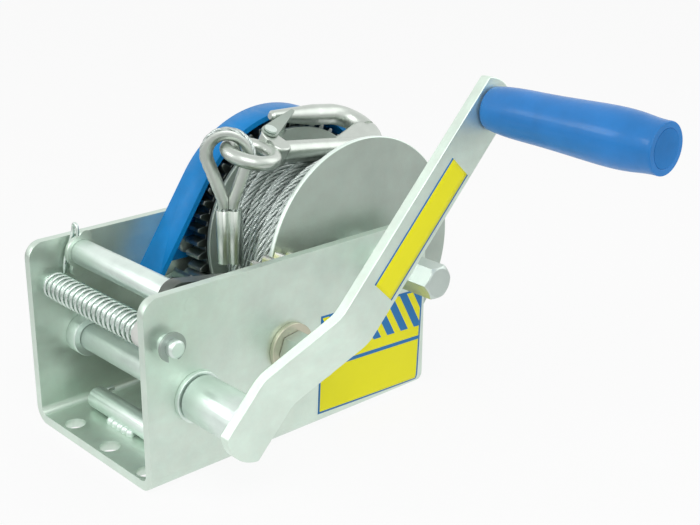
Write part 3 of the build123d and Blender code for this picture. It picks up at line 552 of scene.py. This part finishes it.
# Angles round the drum in degrees, crossings in turns, wander in millimetres and radians per turn
TAIL_ANGLE = -92.0
FAR_ANGLE = -60.0
CROSSING = 0.09
POINTS_PER_TURN = 90
SIDE_WANDER = 0.2
SIDE_WAVE = 9.3
DEPTH_WANDER = 0.15
DEPTH_WAVE = 14.1
DEPTH_LEAD = 1.0


def twisted_strands_tree():
    """Geometry Nodes: lines in, a rope of round strands twisted about each of them out."""
    tree = LineTree("twisted_strands", (("Rope Radius", "Float"), ("Lay", "Float"), ("Strands", "Int"),
                                        ("Strand Sides", "Int")))
    radius, sides = tree.given["Rope Radius"], tree.given["Strand Sides"]
    values = [("Geometry", tree.line), ("Amount", tree.given["Strands"])]
    copies = tree.add("GeometryNodeDuplicateElements", values, domain="SPLINE").outputs
    length = tree.add("GeometryNodeSplineParameter").outputs["Length"]
    marked = tree.mark(tree.mark(copies[0], "along", length), "strand", 1.0)
    share = tree.math("DIVIDE", copies["Duplicate Index"], tree.given["Strands"])
    turn = tree.math("ADD", share, tree.math("DIVIDE", length, tree.given["Lay"]))
    angle = tree.math("MULTIPLY", turn, 2 * pi)
    normal = tree.add("GeometryNodeInputNormal").outputs[0]
    side = tree.vector("CROSS_PRODUCT", (0, tree.add("GeometryNodeInputTangent").outputs[0]), (1, normal))
    away = tree.vector("ADD", (0, tree.scaled(normal, tree.math("COSINE", angle))),
                       (1, tree.scaled(side, tree.math("SINE", angle))))
    offset = tree.scaled(away, tree.math("MULTIPLY", radius, STRAND_OFFSET))
    strands = tree.add("GeometryNodeSetPosition", [("Geometry", marked), ("Offset", offset)]).outputs[0]
    around = tree.vector("NORMALIZE", (0, tree.add("GeometryNodeInputPosition").outputs[0]))
    profile = tree.circle(sides, tree.math("MULTIPLY", radius, STRAND_SHARE))
    tubes = tree.sweep(strands, tree.mark(profile, "ring", around, "FLOAT_VECTOR"))
    # A core inside the strands, which its finish paints near-black as the shade seen between them.
    core = tree.sweep(tree.line, tree.circle(sides, tree.math("MULTIPLY", radius, CORE_SHARE)))
    return tree.end(tree.add("GeometryNodeJoinGeometry", [(0, tubes), (0, core)]).outputs[0])


def rope_mesh(name, lines):
    """Strands twisted along lines of points."""
    rope, colours = bpy.context.scene.winch_rope, bpy.context.scene.winch_colours
    tree = bpy.data.node_groups.get("twisted_strands") or twisted_strands_tree()
    finish = bpy.data.materials.get("rope_wire") or rope_wire("rope_wire", colours.rope)
    values = {"Rope Radius": rope.diameter / 2, "Lay": rope.lay, "Strands": rope.strands,
              "Strand Sides": rope.sides, "Finish": finish}
    return noded_mesh(name, lines, tree, values)


def round_drum(y, reach, angle, sag):
    """A point at some reach and angle from the drum's axis, let down by a share of the pile's sag."""
    x = reach * cos(angle) + sag * PILE_SAG[0]
    z = reach * sin(angle) + sag * PILE_SAG[1]
    return (DRUM_AXIS.x + x * MM, y * MM, DRUM_AXIS.z + z * MM)


def wraps(stations):
    """Knots for one wrap per station, each stepping to the next in a short crossing."""
    knots = []
    for turn, place in enumerate(stations):
        knots += [(turn + CROSSING, *place), (turn + 1 - CROSSING, *place)]
    return knots


def wound_line(knots, start_angle):
    """Points of rope laid round the drum through knots, wandering a little."""
    line = []
    first, last = knots[0][0], knots[-1][0]
    steps = int((last - first) * POINTS_PER_TURN)
    for step in range(steps + 1):
        turn = first + (last - first) * step / steps
        index = max(i for i in range(len(knots) - 1) if knots[i][0] <= turn + 1e-9)
        (t0, y0, r0, s0), (t1, y1, r1, s1) = knots[index], knots[index + 1]
        share = eased((turn - t0) / (t1 - t0))
        y = y0 + (y1 - y0) * share + SIDE_WANDER * sin(turn * SIDE_WAVE)
        reach = r0 + (r1 - r0) * share - DEPTH_WANDER * (1 + sin(turn * DEPTH_WAVE + DEPTH_LEAD))
        line.append(round_drum(y, reach, radians(start_angle) - 2 * pi * turn, s0 + (s1 - s0) * share))
    return line


def eased(share):
    return share * share * (3 - 2 * share)


def lathe_mesh(name, profile, sides):
    """A closed ring about the drum's axis from (station, radius, sag) points in millimetres."""
    points, faces = [], []
    count = len(profile)
    for side in range(sides):
        angle = 2 * pi * side / sides
        points += [round_drum(y, reach, angle, sag) for y, reach, sag in profile]
        here, there = side * count, (side + 1) % sides * count
        for step in range(count):
            after = (step + 1) % count
            faces.append((here + step, here + after, there + after, there + step))
    return shell_mesh(name, points, faces)


class WINCH_OT_lay_rope_end(bpy.types.Operator):
    """Lays the rope's end from the drum to the ferrule, and its loop round the thimble."""
    bl_idname = "winch.lay_rope_end"
    bl_label = "Lay the rope's end"

    def execute(self, context):
        path = nurbs_points("tail_route", TAIL_ROUTE)
        tail = add_piece("rope_end", rope_mesh("rope_end", [path]), "frame", ("rope_tail",))
        loop = [(LOOP_PLACE[0] + along * cos(LOOP_HEADING), LOOP_PLACE[1] + along * sin(LOOP_HEADING), z)
                for along, z in LOOP_ROUTE]
        eye = add_piece("rope_eye", rope_mesh("rope_eye", [nurbs_points("loop_route", loop)]), "frame",
                        ("rope_loop",))
        return {"FINISHED"}


class WINCH_OT_wind_rope(bpy.types.Operator):
    """Winds the rope on the drum in place of its plain rings."""
    bl_idname = "winch.wind_rope"
    bl_label = "Wind the rope on the drum"

    def execute(self, context):
        near = [NEAR_START] + wraps(NEAR_WRAPS)
        near[-1] = (NEAR_LAST_TURN, *NEAR_WRAPS[-1])
        near += [TAIL_CLIMB, TAIL_EXIT]
        far = [FAR_START] + wraps(FAR_WRAPS) + [FAR_END]
        lines = [wound_line(near, TAIL_ANGLE + 360 * (TAIL_EXIT[0] % 1)), wound_line(far, FAR_ANGLE)]
        add_piece("drum_rope", rope_mesh("drum_rope", lines), "drum",
                  ("rope_near_pile", "rope_valley", "rope_far_pile"))
        core = lathe_mesh("rope_underlay", UNDERLAY, UNDERLAY_SIDES)
        # The underlay's finish is painted dark as the shade under the outer turns.
        core.materials.append(rope_shade("rope_underlay", context.scene.winch_colours.rope))
        add_piece("rope_underlay", core, "drum")
        return {"FINISHED"}


# Finishes of the CAD pieces

# From the tips to the roots of all four gears, in metres
TOOTH_DEPTH = 0.0056


class WINCH_OT_finish_plates(bpy.types.Operator):
    """Satin zinc on the folded frame, the drum and the pawl, darker on the flanges with a painted
    highlight on their rim, and dark on the finger as painted shade.
    """
    bl_idname = "winch.finish_plates"
    bl_label = "Finish the plates"

    def execute(self, context):
        colour = context.scene.winch_colours.zinc
        zinc = satin_zinc("satin_zinc", colour)
        dress(zinc, "frame", "pawl_lever", edge=PLATE_EDGE)
        # The pawl's finger gets zinc at a fifth of its colour: painted shade, so it sits dark like the
        # shadow behind the plate.
        dress(satin_zinc("pawl_zinc", shade(colour, 0.2)), "pawl_finger", edge=PLATE_EDGE)
        # The flanges' rim gets a painted highlight, a lighter band half a millimetre wide at the edge.
        low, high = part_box("drum_near_flange")
        highlit_rim = (DRUM_AXIS, (high.x - low.x) / 2)
        flange = satin_zinc("flange_zinc", shade(colour, 0.7), metal=0.6, highlit_rim=highlit_rim)
        dress(flange, "drum_near_flange", "drum_far_flange", edge=PLATE_EDGE)
        dress(zinc, "drum_barrel", "pawl_pin")
        return {"FINISHED"}


class WINCH_OT_finish_turned(bpy.types.Operator):
    """Plated turned steel on shafts, bushes and pins, darker on the shaft ends as painted shade; duller
    metal on a clip and a bush; darker zinc on the latch as painted shade.
    """
    bl_idname = "winch.finish_turned"
    bl_label = "Finish shafts and pins"

    def execute(self, context):
        colours = context.scene.winch_colours
        steel = turned_steel("turned_steel", colours.turned)
        # The shaft ends get a darker copy of the turned steel: painted shade for the darker light they
        # sit in.
        shaded_shafts = turned_steel("shaft_steel", shade(colours.turned, 0.75))
        dress(shaded_shafts, "drum_shaft", "reduction_shaft", edge=TURNED_EDGE)
        dress(steel, "input_shaft", "drum_near_bush", "drum_far_bush", "reduction_far_bush",
              "input_near_bush", "input_far_bush", "crank_hub", "pawl_sleeve", "spring_pin", "lower_stay",
              "stay_foot", "grip_spindle", "guard_screws", "latch_rivet", edge=TURNED_EDGE)
        dress(steel, "drum_near_spacer", "drum_gear_spacer")
        dress(turned_steel("ring_steel", shade(colours.turned, 0.5)), "spring_ring")
        dress(turned_steel("sintered_bush", colours.bush), "reduction_near_bush", edge=TURNED_EDGE)
        # The latch gets a darker copy of the plates' zinc: painted shade for its up-facing, greyer-lit
        # cheek.
        dress(satin_zinc("stamped_sheet", shade(colours.zinc, 0.62)), "hook_latch", edge=FINE_EDGE)
        return {"FINISHED"}


class WINCH_OT_finish_gears(bpy.types.Operator):
    """Gears with worn tooth tips, each about its own shaft."""
    bl_idname = "winch.finish_gears"
    bl_label = "Finish the gears"

    def execute(self, context):
        colours = context.scene.winch_colours
        for name, axis, colour in (("drum_gear", DRUM_AXIS, colours.gear),
                                   ("drum_pinion", REDUCTION_AXIS, shade(colours.gear, 1.9)),
                                   ("input_pinion", CRANK_AXIS, colours.gear),
                                   ("reduction_gear", REDUCTION_AXIS, colours.yellow_zinc)):
            low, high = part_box(name)
            tip = (high.x - low.x) / 2
            dress(gear_steel(name + "_steel", colour, axis, tip - TOOTH_DEPTH, tip), name, edge=FINE_EDGE)
        return {"FINISHED"}


class WINCH_OT_finish_hook(bpy.types.Operator):
    """Galvanised forging on the hook and the thimble, lighter on the ferrule."""
    bl_idname = "winch.finish_hook"
    bl_label = "Finish the hook"

    def execute(self, context):
        colour = context.scene.winch_colours.forged
        dress(forged_steel("galvanised_forging", colour), "snap_hook", "thimble")
        dress(forged_steel("pressed_sleeve", shade(colour, 1.25)), "rope_ferrule", edge=ROUND_EDGE)
        return {"FINISHED"}


class WINCH_OT_finish_plastics(bpy.types.Operator):
    """Moulded plastic on the gear guard, the grip, its cap and the spring's collar."""
    bl_idname = "winch.finish_plastics"
    bl_label = "Finish the plastics"

    def execute(self, context):
        colours = context.scene.winch_colours
        grip = moulded_plastic("grip_plastic", colours.grip, rough=0.42, coat=0.35)
        cap = moulded_plastic("cap_plastic", shade(colours.grip, 0.9), rough=0.45)
        dress(moulded_plastic("guard_plastic", colours.guard, rough=0.36), "gear_guard", edge=PLATE_EDGE)
        dress(grip, "grip", edge=ROUND_EDGE)
        dress(cap, "grip_cap", edge=CAP_EDGE)
        dress(moulded_plastic("white_nylon", colours.nylon, rough=0.4), "spring_collar", edge=TURNED_EDGE)
        return {"FINISHED"}


# Pawl spring, in millimetres: its coil on the cross pin, and a leg that hooks over the lever

COIL_AXIS = (-82.4, 78.6)
COIL_START = 46.5
COIL_RADIUS = 6.75
COIL_PITCH = 4.35
COIL_TURNS = 19
COIL_STEPS = 32
WIRE_RADIUS = 0.95
WIRE_SIDES = 8
LEG_ROUTE = [(-68.6, 42.8, 103.4), (-68.4, 42.9, 107.6), (-68.2, 44.4, 109.6), (-68.2, 47.0, 109.4),
             (-68.4, 47.4, 105.4), (-70.4, 47.4, 100.4), (-74.4, 47.4, 91.4), (-75.65, 46.9, 85.0),
             (-75.65, 46.5, 78.6)]


def swept_wire_tree():
    """Geometry Nodes: lines in, a round wire along each of them out."""
    tree = LineTree("swept_wire", (("Wire Radius", "Float"), ("Sides", "Int")))
    return tree.end(tree.sweep(tree.line, tree.circle(tree.given["Sides"], tree.given["Wire Radius"])))


class WINCH_OT_wind_spring(bpy.types.Operator):
    """Winds the pawl's spring, with a leg that hooks over the lever, and dresses the circlips."""
    bl_idname = "winch.wind_spring"
    bl_label = "Wind the pawl's spring"

    def execute(self, context):
        line = nurbs_points("spring_leg", LEG_ROUTE)
        for step in range(1, COIL_TURNS * COIL_STEPS + 1):
            turn = step / COIL_STEPS
            x = COIL_AXIS[0] + COIL_RADIUS * cos(2 * pi * turn)
            z = COIL_AXIS[1] - COIL_RADIUS * sin(2 * pi * turn)
            line.append(Vector((x, COIL_START - COIL_PITCH * turn, z)) * MM)
        wire = drawn_wire("spring_wire", shade(context.scene.winch_colours.turned, 0.85))
        values = {"Wire Radius": WIRE_RADIUS * MM, "Sides": WIRE_SIDES, "Finish": wire}
        piece = link("spring_coil", noded_mesh("spring_coil", [line], swept_wire_tree(), values))
        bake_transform(piece)
        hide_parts("pawl_spring")
        dress(wire, "drum_circlip", "reduction_circlip", "input_circlip")
        return {"FINISHED"}


# Crank bar, in millimetres, and along it from the crank's axis

BAR_HALF_WIDTH = 12.5
BAR_LOW_END = -16.4
BAR_HIGH_END = 203.0
BAR_END_ARC = 19.0
BEND_START = 20.0
BEND_END = 62.0
BEND_RADIUS = 17.0
BEND_STEPS = 8
ACROSS_STEPS = 6
SPINDLE_HEAD_THICK = 2.5


def crank_heading():
    """The angle at which the crank's bar stands, from its hub to its grip."""
    run = GRIP_AXIS - CRANK_AXIS
    return atan2(run.z, run.x)


def by_crank(along, up):
    """x and z, in metres, of a place along and up from the crank's axis in the bar's own heading."""
    heading = crank_heading()
    return (CRANK_AXIS.x + (along * cos(heading) - up * sin(heading)) * MM,
            CRANK_AXIS.z + (along * sin(heading) + up * cos(heading)) * MM)


def bar_line(rise):
    """Stations (along, out, slope) of a bar that steps out once, with round bends."""
    slope = atan2(rise, BEND_END - BEND_START)
    reach = BEND_RADIUS * tan(slope / 2)
    line = [(BAR_LOW_END, 0.0, 0.0)]
    for step in range(BEND_STEPS + 1):
        angle = slope * step / BEND_STEPS
        out = BEND_RADIUS * (1 - cos(angle))
        line.append((BEND_START - reach + BEND_RADIUS * sin(angle), out, angle))
    for step in range(BEND_STEPS + 1):
        angle = slope * (1 - step / BEND_STEPS)
        out = rise - BEND_RADIUS * (1 - cos(angle))
        line.append((BEND_END + reach - BEND_RADIUS * sin(angle), out, angle))
    return line + [(BAR_HIGH_END, rise, 0.0)]


def bar_cut(along, out, slope, half_thick, end):
    """Points (along, out, across) round a cut of the bar; end is -1 or 1 at its rounded ends, else 0."""
    across = [BAR_HALF_WIDTH * (step / ACROSS_STEPS - 1) for step in range(2 * ACROSS_STEPS + 1)]
    cut = []
    for side, places in ((-1, across), (1, across[::-1])):
        for place in places:
            arc = BAR_END_ARC - (BAR_END_ARC ** 2 - place ** 2) ** 0.5
            cut.append((along - end * arc + side * half_thick * sin(slope),
                        out - side * half_thick * cos(slope), place))
    return cut


def tube_mesh(name, rings):
    """A closed shell through like rings of points, with strips from side to side at its two ends."""
    count, half = len(rings[0]), len(rings[0]) // 2
    points = [point for ring in rings for point in ring]
    faces = []
    for ring in range(len(rings) - 1):
        here, there = ring * count, (ring + 1) * count
        faces += [(here + step, there + step, there + (step + 1) % count, here + (step + 1) % count)
                  for step in range(count)]
    last = (len(rings) - 1) * count
    for step in range(half - 1):
        faces.append((step, step + 1, count - 2 - step, count - 1 - step))
        faces.append((last + step, last + count - 1 - step, last + count - 2 - step, last + step + 1))
    mesh = shell_mesh(name, points, faces)
    mesh.shade_smooth()
    return mesh


class WINCH_OT_bend_crank_bar(bpy.types.Operator):
    """Bends the flat bar of the crank close to its hub, in place of the longer bend of the plain one."""
    bl_idname = "winch.bend_crank_bar"
    bl_label = "Bend the crank's bar"

    def execute(self, context):
        hub_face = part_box("crank_hub")[0].y
        rise = hub_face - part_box("grip_spindle")[1].y + SPINDLE_HEAD_THICK * MM
        thick = hub_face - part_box("crank_arm")[0].y - rise
        line = bar_line(rise / MM)
        rings = []
        for index, station in enumerate(line):
            end = (index == len(line) - 1) - (index == 0)
            ring = []
            for along, out, across in bar_cut(*station, thick / MM / 2, end):
                x, z = by_crank(along, across)
                ring.append((x, hub_face - thick / 2 - out * MM, z))
            rings.append(ring)
        mesh = tube_mesh("crank_bar", rings)
        # The bar's zinc is a lighter copy of the plates' zinc: painted light for the brighter light on
        # the bar.
        mesh.materials.append(satin_zinc("bar_zinc", shade(context.scene.winch_colours.zinc, 1.14)))
        soften(add_piece("crank_bar", mesh, "crank", ("crank_arm",)), PLATE_EDGE)
        return {"FINISHED"}


# Labels, in millimetres: the one on the near plate, and the band along the crank's bar

LABEL_CENTRE = (53.0, 34.5)
LABEL_HALF = (38.2, 28.4)
LABEL_HEADING = radians(-2.6)
LABEL_STEPS = (40, 60)
BAND_ALONG = (84.0, 156.0)
BAND_UP = (-10.0, 5.5)
BAND_STEPS = (36, 4)

# Print, in metres: slanted bars, a rule and edge lines; heights are shares of half the label's
FILM_THICK = 0.00012
BARS_PER_METRE = 95.0
BARS_SLANT = 0.6
BARS_GAP_SHARE = 0.45
BARS_SOFT = 0.02
BARS_FROM = 0.2
RULE_DOWN = 0.05
RULE_HALF = 0.0011
EDGE_LINE = 0.0012
BAND_LINE = 0.0009
PRINT_SOFT = 0.0001


def label_finish(name, centre, heading):
    """The finish of a label, with the places along and up its own plane."""
    finish = Finish(name, Specular_IOR_Level=0.3)
    x, z = finish.side_view(centre)
    level, tilt = cos(heading), sin(heading)
    along = finish.math("ADD", finish.math("MULTIPLY", x, level), finish.math("MULTIPLY", z, tilt))
    up = finish.math("SUBTRACT", finish.math("MULTIPLY", z, level), finish.math("MULTIPLY", x, tilt))
    return finish, along, up


def printed(finish, mark, colours):
    """Yellow film with its marks in blue, slightly uneven."""
    field = finish.clouded(finish.noise(scale=60.0), colours.label_field, 0.95, 1.0)
    finish.set(Base_Color=finish.mix(mark, field, colours.label_mark),
               Roughness=finish.spread(finish.noise(scale=300.0), 0.3, 0.42))
    return finish.bump(finish.noise(scale=250.0), distance=0.00003).material


def edge_line(finish, value, half, width):
    """1 within a line's width of either edge."""
    return finish.step(finish.math("ABSOLUTE", value), half - width, PRINT_SOFT)


def stuck_sheet(name, carrier, body, centre, heading, spans, steps):
    """A thin film that lies on the near face of its carrier, over spans along and up its own plane."""
    bpy.context.view_layer.update()
    (start, end), (low, high) = spans
    columns, rows = steps
    points, faces = [], []
    for column in range(columns + 1):
        along = start + (end - start) * column / columns
        for row in range(rows + 1):
            up = low + (high - low) * row / rows
            x = centre[0] + along * cos(heading) - up * sin(heading)
            z = centre[1] + along * sin(heading) + up * cos(heading)
            hit, place = carrier.ray_cast(Vector((x, CAD_BOX[0][1], z)), Vector((0, 1, 0)))[:2]
            if not hit:
                raise RuntimeError(name + " misses the piece that carries it")
            points.append((x, place.y - FILM_THICK, z))
            if row and column:
                here, there = (column - 1) * (rows + 1) + row, column * (rows + 1) + row
                faces.append((here - 1, there - 1, there, here))
    mesh = shell_mesh(name, points, faces)
    mesh.shade_smooth()
    film = add_piece(name, mesh, body).modifiers.new("thickness", "SOLIDIFY")
    film.thickness = FILM_THICK
    film.offset = -1.0
    return mesh


class WINCH_OT_stick_labels(bpy.types.Operator):
    """Sticks a plain striped label on the near plate and a band on the crank's bar."""
    bl_idname = "winch.stick_labels"
    bl_label = "Stick the labels on"

    def execute(self, context):
        self.plate_label(context.scene.winch_colours)
        self.bar_band(context.scene.winch_colours)
        return {"FINISHED"}

    def plate_label(self, colours):
        centre = in_metres(LABEL_CENTRE)
        wide, tall = in_metres(LABEL_HALF)
        finish, along, up = label_finish("plate_label", centre, LABEL_HEADING)
        slant = finish.math("ADD", along, finish.math("MULTIPLY", up, BARS_SLANT))
        slant = finish.math("FRACT", finish.math("MULTIPLY", slant, BARS_PER_METRE))
        bars = finish.math("MULTIPLY", finish.step(slant, edge=BARS_GAP_SHARE, soft=BARS_SOFT),
                           finish.step(up, edge=tall * BARS_FROM, soft=PRINT_SOFT))
        from_rule = finish.math("ABSOLUTE", finish.math("ADD", up, tall * RULE_DOWN))
        rule = finish.math("SUBTRACT", 1.0, finish.step(from_rule, edge=RULE_HALF, soft=PRINT_SOFT))
        edge = finish.math("MAXIMUM", edge_line(finish, along, wide, EDGE_LINE),
                           edge_line(finish, up, tall, EDGE_LINE))
        mark = finish.math("MAXIMUM", finish.math("MAXIMUM", bars, rule), edge)
        mesh = stuck_sheet("plate_label", NODES["frame"], "frame", centre, LABEL_HEADING,
                           ((-wide, wide), (-tall, tall)), LABEL_STEPS)
        mesh.materials.append(printed(finish, mark, colours))

    def bar_band(self, colours):
        centre, heading = (CRANK_AXIS.x, CRANK_AXIS.z), crank_heading()
        finish, along, up = label_finish("bar_band", centre, heading)
        low, high = in_metres(BAND_UP)
        from_middle = finish.math("SUBTRACT", up, (low + high) / 2)
        mark = edge_line(finish, from_middle, (high - low) / 2, BAND_LINE)
        mesh = stuck_sheet("bar_band", bpy.data.objects["crank_bar"], "crank", centre, heading,
                           (in_metres(BAND_ALONG), (low, high)), BAND_STEPS)
        mesh.materials.append(printed(finish, mark, colours))


# Stage, in metres, with the camera as fitted to the photo: angles in radians and focus in pixels

CAMERA_PLACE = (-0.3869, -0.5137, 0.3224)
CAMERA_YAW = -0.7453329
CAMERA_PITCH = 0.3564231
CAMERA_ROLL = 0.0077934
CAMERA_FOCUS = 1257.116
PICTURE_WIDTH = 700
SENSOR = 36.0
LAMP_TARGET = Vector((0.0, -0.05, 0.08))
KEY_PLACE = Vector((-0.55, -0.75, 0.95))
FILL_PLACE = Vector((0.9, -0.5, 0.7))
SIDE_PLACE = Vector((-0.8, 0.45, 0.62))
LARGE_LAMP = 0.9
SMALL_LAMP = 0.35
FLOOR_HALF = 40.0
FLOOR_DROP = 0.0002
FLOOR_COLOUR = (0.85, 0.85, 0.85)
WHITE = (1.0, 1.0, 1.0)

# Where the mirrored white fades: on the floor by metres from its middle, in the sky by height's sine
SHEET_FADE = (0.1, 0.6)
CEILING_FADE = (0.45, 0.95)


def seen_ray(nodes):
    """A socket that is 1 for what the camera sees, straight, mirrored or through glass."""
    ray = nodes.add("ShaderNodeLightPath").outputs
    mirrored = nodes.math("MAXIMUM", ray["Is Camera Ray"], ray["Is Glossy Ray"])
    return nodes.math("MAXIMUM", mirrored, ray["Is Transmission Ray"])


class WINCH_OT_set_stage(bpy.types.Operator):
    """Sets up the floor, the lamps, the even sky and the camera."""
    bl_idname = "winch.set_stage"
    bl_label = "Set the stage"

    def execute(self, context):
        scene = context.scene
        stage = scene.winch_stage
        scene.view_settings.view_transform = "Standard"
        self.floor(stage)
        scene.world = self.sky(stage)
        self.lamp("key_lamp", KEY_PLACE, LARGE_LAMP, stage.key_power)
        self.lamp("fill_lamp", FILL_PLACE, LARGE_LAMP, stage.fill_power)
        self.lamp("side_lamp", SIDE_PLACE, SMALL_LAMP, stage.side_power)
        scene.camera = self.camera()
        return {"FINISHED"}

    def floor(self, stage):
        corners = [(x * FLOOR_HALF, y * FLOOR_HALF, 0) for x, y in ((-1, -1), (1, -1), (1, 1), (-1, 1))]
        mesh = shell_mesh("floor", corners, [(0, 1, 2, 3)])
        made = link("floor", mesh)
        made.location.z = -FLOOR_DROP
        material = bpy.data.materials.new("pale_floor")
        material.use_nodes = True
        nodes = Nodes(material.node_tree)
        place = nodes.add("ShaderNodeTexCoord").outputs["Object"]
        reach = nodes.add("ShaderNodeVectorMath", [(0, place)], operation="LENGTH").outputs["Value"]
        fade = nodes.spread(reach, 1.0, stage.sheet_edge, *SHEET_FADE)
        straight = nodes.add("ShaderNodeLightPath").outputs["Is Camera Ray"]
        strength = nodes.math("MAXIMUM", straight, fade)
        glow = nodes.add("ShaderNodeEmission", [("Strength", strength)]).outputs[0]
        matt = nodes.add("ShaderNodeBsdfDiffuse", [("Color", FLOOR_COLOUR)]).outputs[0]
        share = nodes.math("MULTIPLY", seen_ray(nodes), 1.0 - stage.floor_shade)
        blend = nodes.add("ShaderNodeMixShader", enumerate((share, matt, glow))).outputs[0]
        nodes.add("ShaderNodeOutputMaterial", [(0, blend)])
        mesh.materials.append(material)

    def sky(self, stage):
        world = bpy.data.worlds.new("studio")
        world.use_nodes = True
        nodes = Nodes(world.node_tree)
        toward = nodes.add("ShaderNodeTexCoord").outputs["Generated"]
        height = nodes.add("ShaderNodeSeparateXYZ", [(0, toward)]).outputs[2]
        overhead = nodes.spread(height, 1.0, stage.ceiling, *CEILING_FADE)
        light, white = [
            nodes.add("ShaderNodeBackground", [("Color", WHITE), ("Strength", strength)]).outputs[0]
            for strength in (stage.sky, overhead)]
        blend = nodes.add("ShaderNodeMixShader", enumerate((seen_ray(nodes), light, white))).outputs[0]
        nodes.add("ShaderNodeOutputWorld", [(0, blend)])
        return world

    def lamp(self, name, place, size, power):
        data = bpy.data.lights.new(name, "AREA")
        data.size = size
        data.energy = power
        made = link(name, data)
        made.location = place
        made.rotation_euler = (LAMP_TARGET - place).to_track_quat("-Z", "Y").to_euler()

    def camera(self):
        level = Vector((cos(CAMERA_YAW), sin(CAMERA_YAW), 0.0))
        ahead = Vector((-sin(CAMERA_YAW), cos(CAMERA_YAW), 0.0))
        back = Vector((0.0, 0.0, sin(CAMERA_PITCH))) - ahead * cos(CAMERA_PITCH)
        upright = back.cross(level)
        right = level * cos(CAMERA_ROLL) + upright * sin(CAMERA_ROLL)
        up = upright * cos(CAMERA_ROLL) - level * sin(CAMERA_ROLL)
        data = bpy.data.cameras.new("camera")
        data.sensor_width = SENSOR
        data.lens = CAMERA_FOCUS / PICTURE_WIDTH * SENSOR
        data.clip_start = 0.01
        made = link("camera", data)
        turn = Matrix((right, up, back)).transposed().to_4x4()
        made.matrix_world = Matrix.Translation(CAMERA_PLACE) @ turn
        return made


class WINCH_PT_panel(bpy.types.Panel):
    """Lists the winch's settings and the steps that dress it."""
    bl_idname = "WINCH_PT_panel"
    bl_label = "Trailer winch"
    bl_space_type = "VIEW_3D"
    bl_region_type = "UI"
    bl_category = "Winch"

    def draw(self, context):
        for group in (context.scene.winch_rope, context.scene.winch_colours, context.scene.winch_stage):
            box = self.layout.box()
            for key in group.bl_rna.properties.keys():
                if key not in ("rna_type", "name"):
                    box.prop(group, key)
        for step in STEPS:
            self.layout.operator(step.bl_idname)


SETTINGS = {"winch_rope": RopeSettings, "winch_colours": ColourSettings, "winch_stage": StageSettings}
STEPS = (WINCH_OT_set_stage, WINCH_OT_lay_rope_end, WINCH_OT_wind_rope, WINCH_OT_finish_plates,
         WINCH_OT_finish_turned, WINCH_OT_finish_gears, WINCH_OT_finish_hook, WINCH_OT_finish_plastics,
         WINCH_OT_wind_spring, WINCH_OT_bend_crank_bar, WINCH_OT_stick_labels)


def register():
    for made in (*SETTINGS.values(), *STEPS, WINCH_PT_panel):
        bpy.utils.register_class(made)
    for name, group in SETTINGS.items():
        setattr(bpy.types.Scene, name, PointerProperty(type=group))


def unregister():
    for name in SETTINGS:
        delattr(bpy.types.Scene, name)
    for made in (WINCH_PT_panel, *reversed(STEPS), *reversed(tuple(SETTINGS.values()))):
        bpy.utils.unregister_class(made)


def main():
    register()
    bpy.ops.winch.set_stage()
    bpy.ops.winch.lay_rope_end()
    bpy.ops.winch.wind_rope()
    bpy.ops.winch.finish_plates()
    bpy.ops.winch.finish_turned()
    bpy.ops.winch.finish_gears()
    bpy.ops.winch.finish_hook()
    bpy.ops.winch.finish_plastics()
    bpy.ops.winch.wind_spring()
    bpy.ops.winch.bend_crank_bar()
    bpy.ops.winch.stick_labels()


if __name__ == "__main__":
    main()
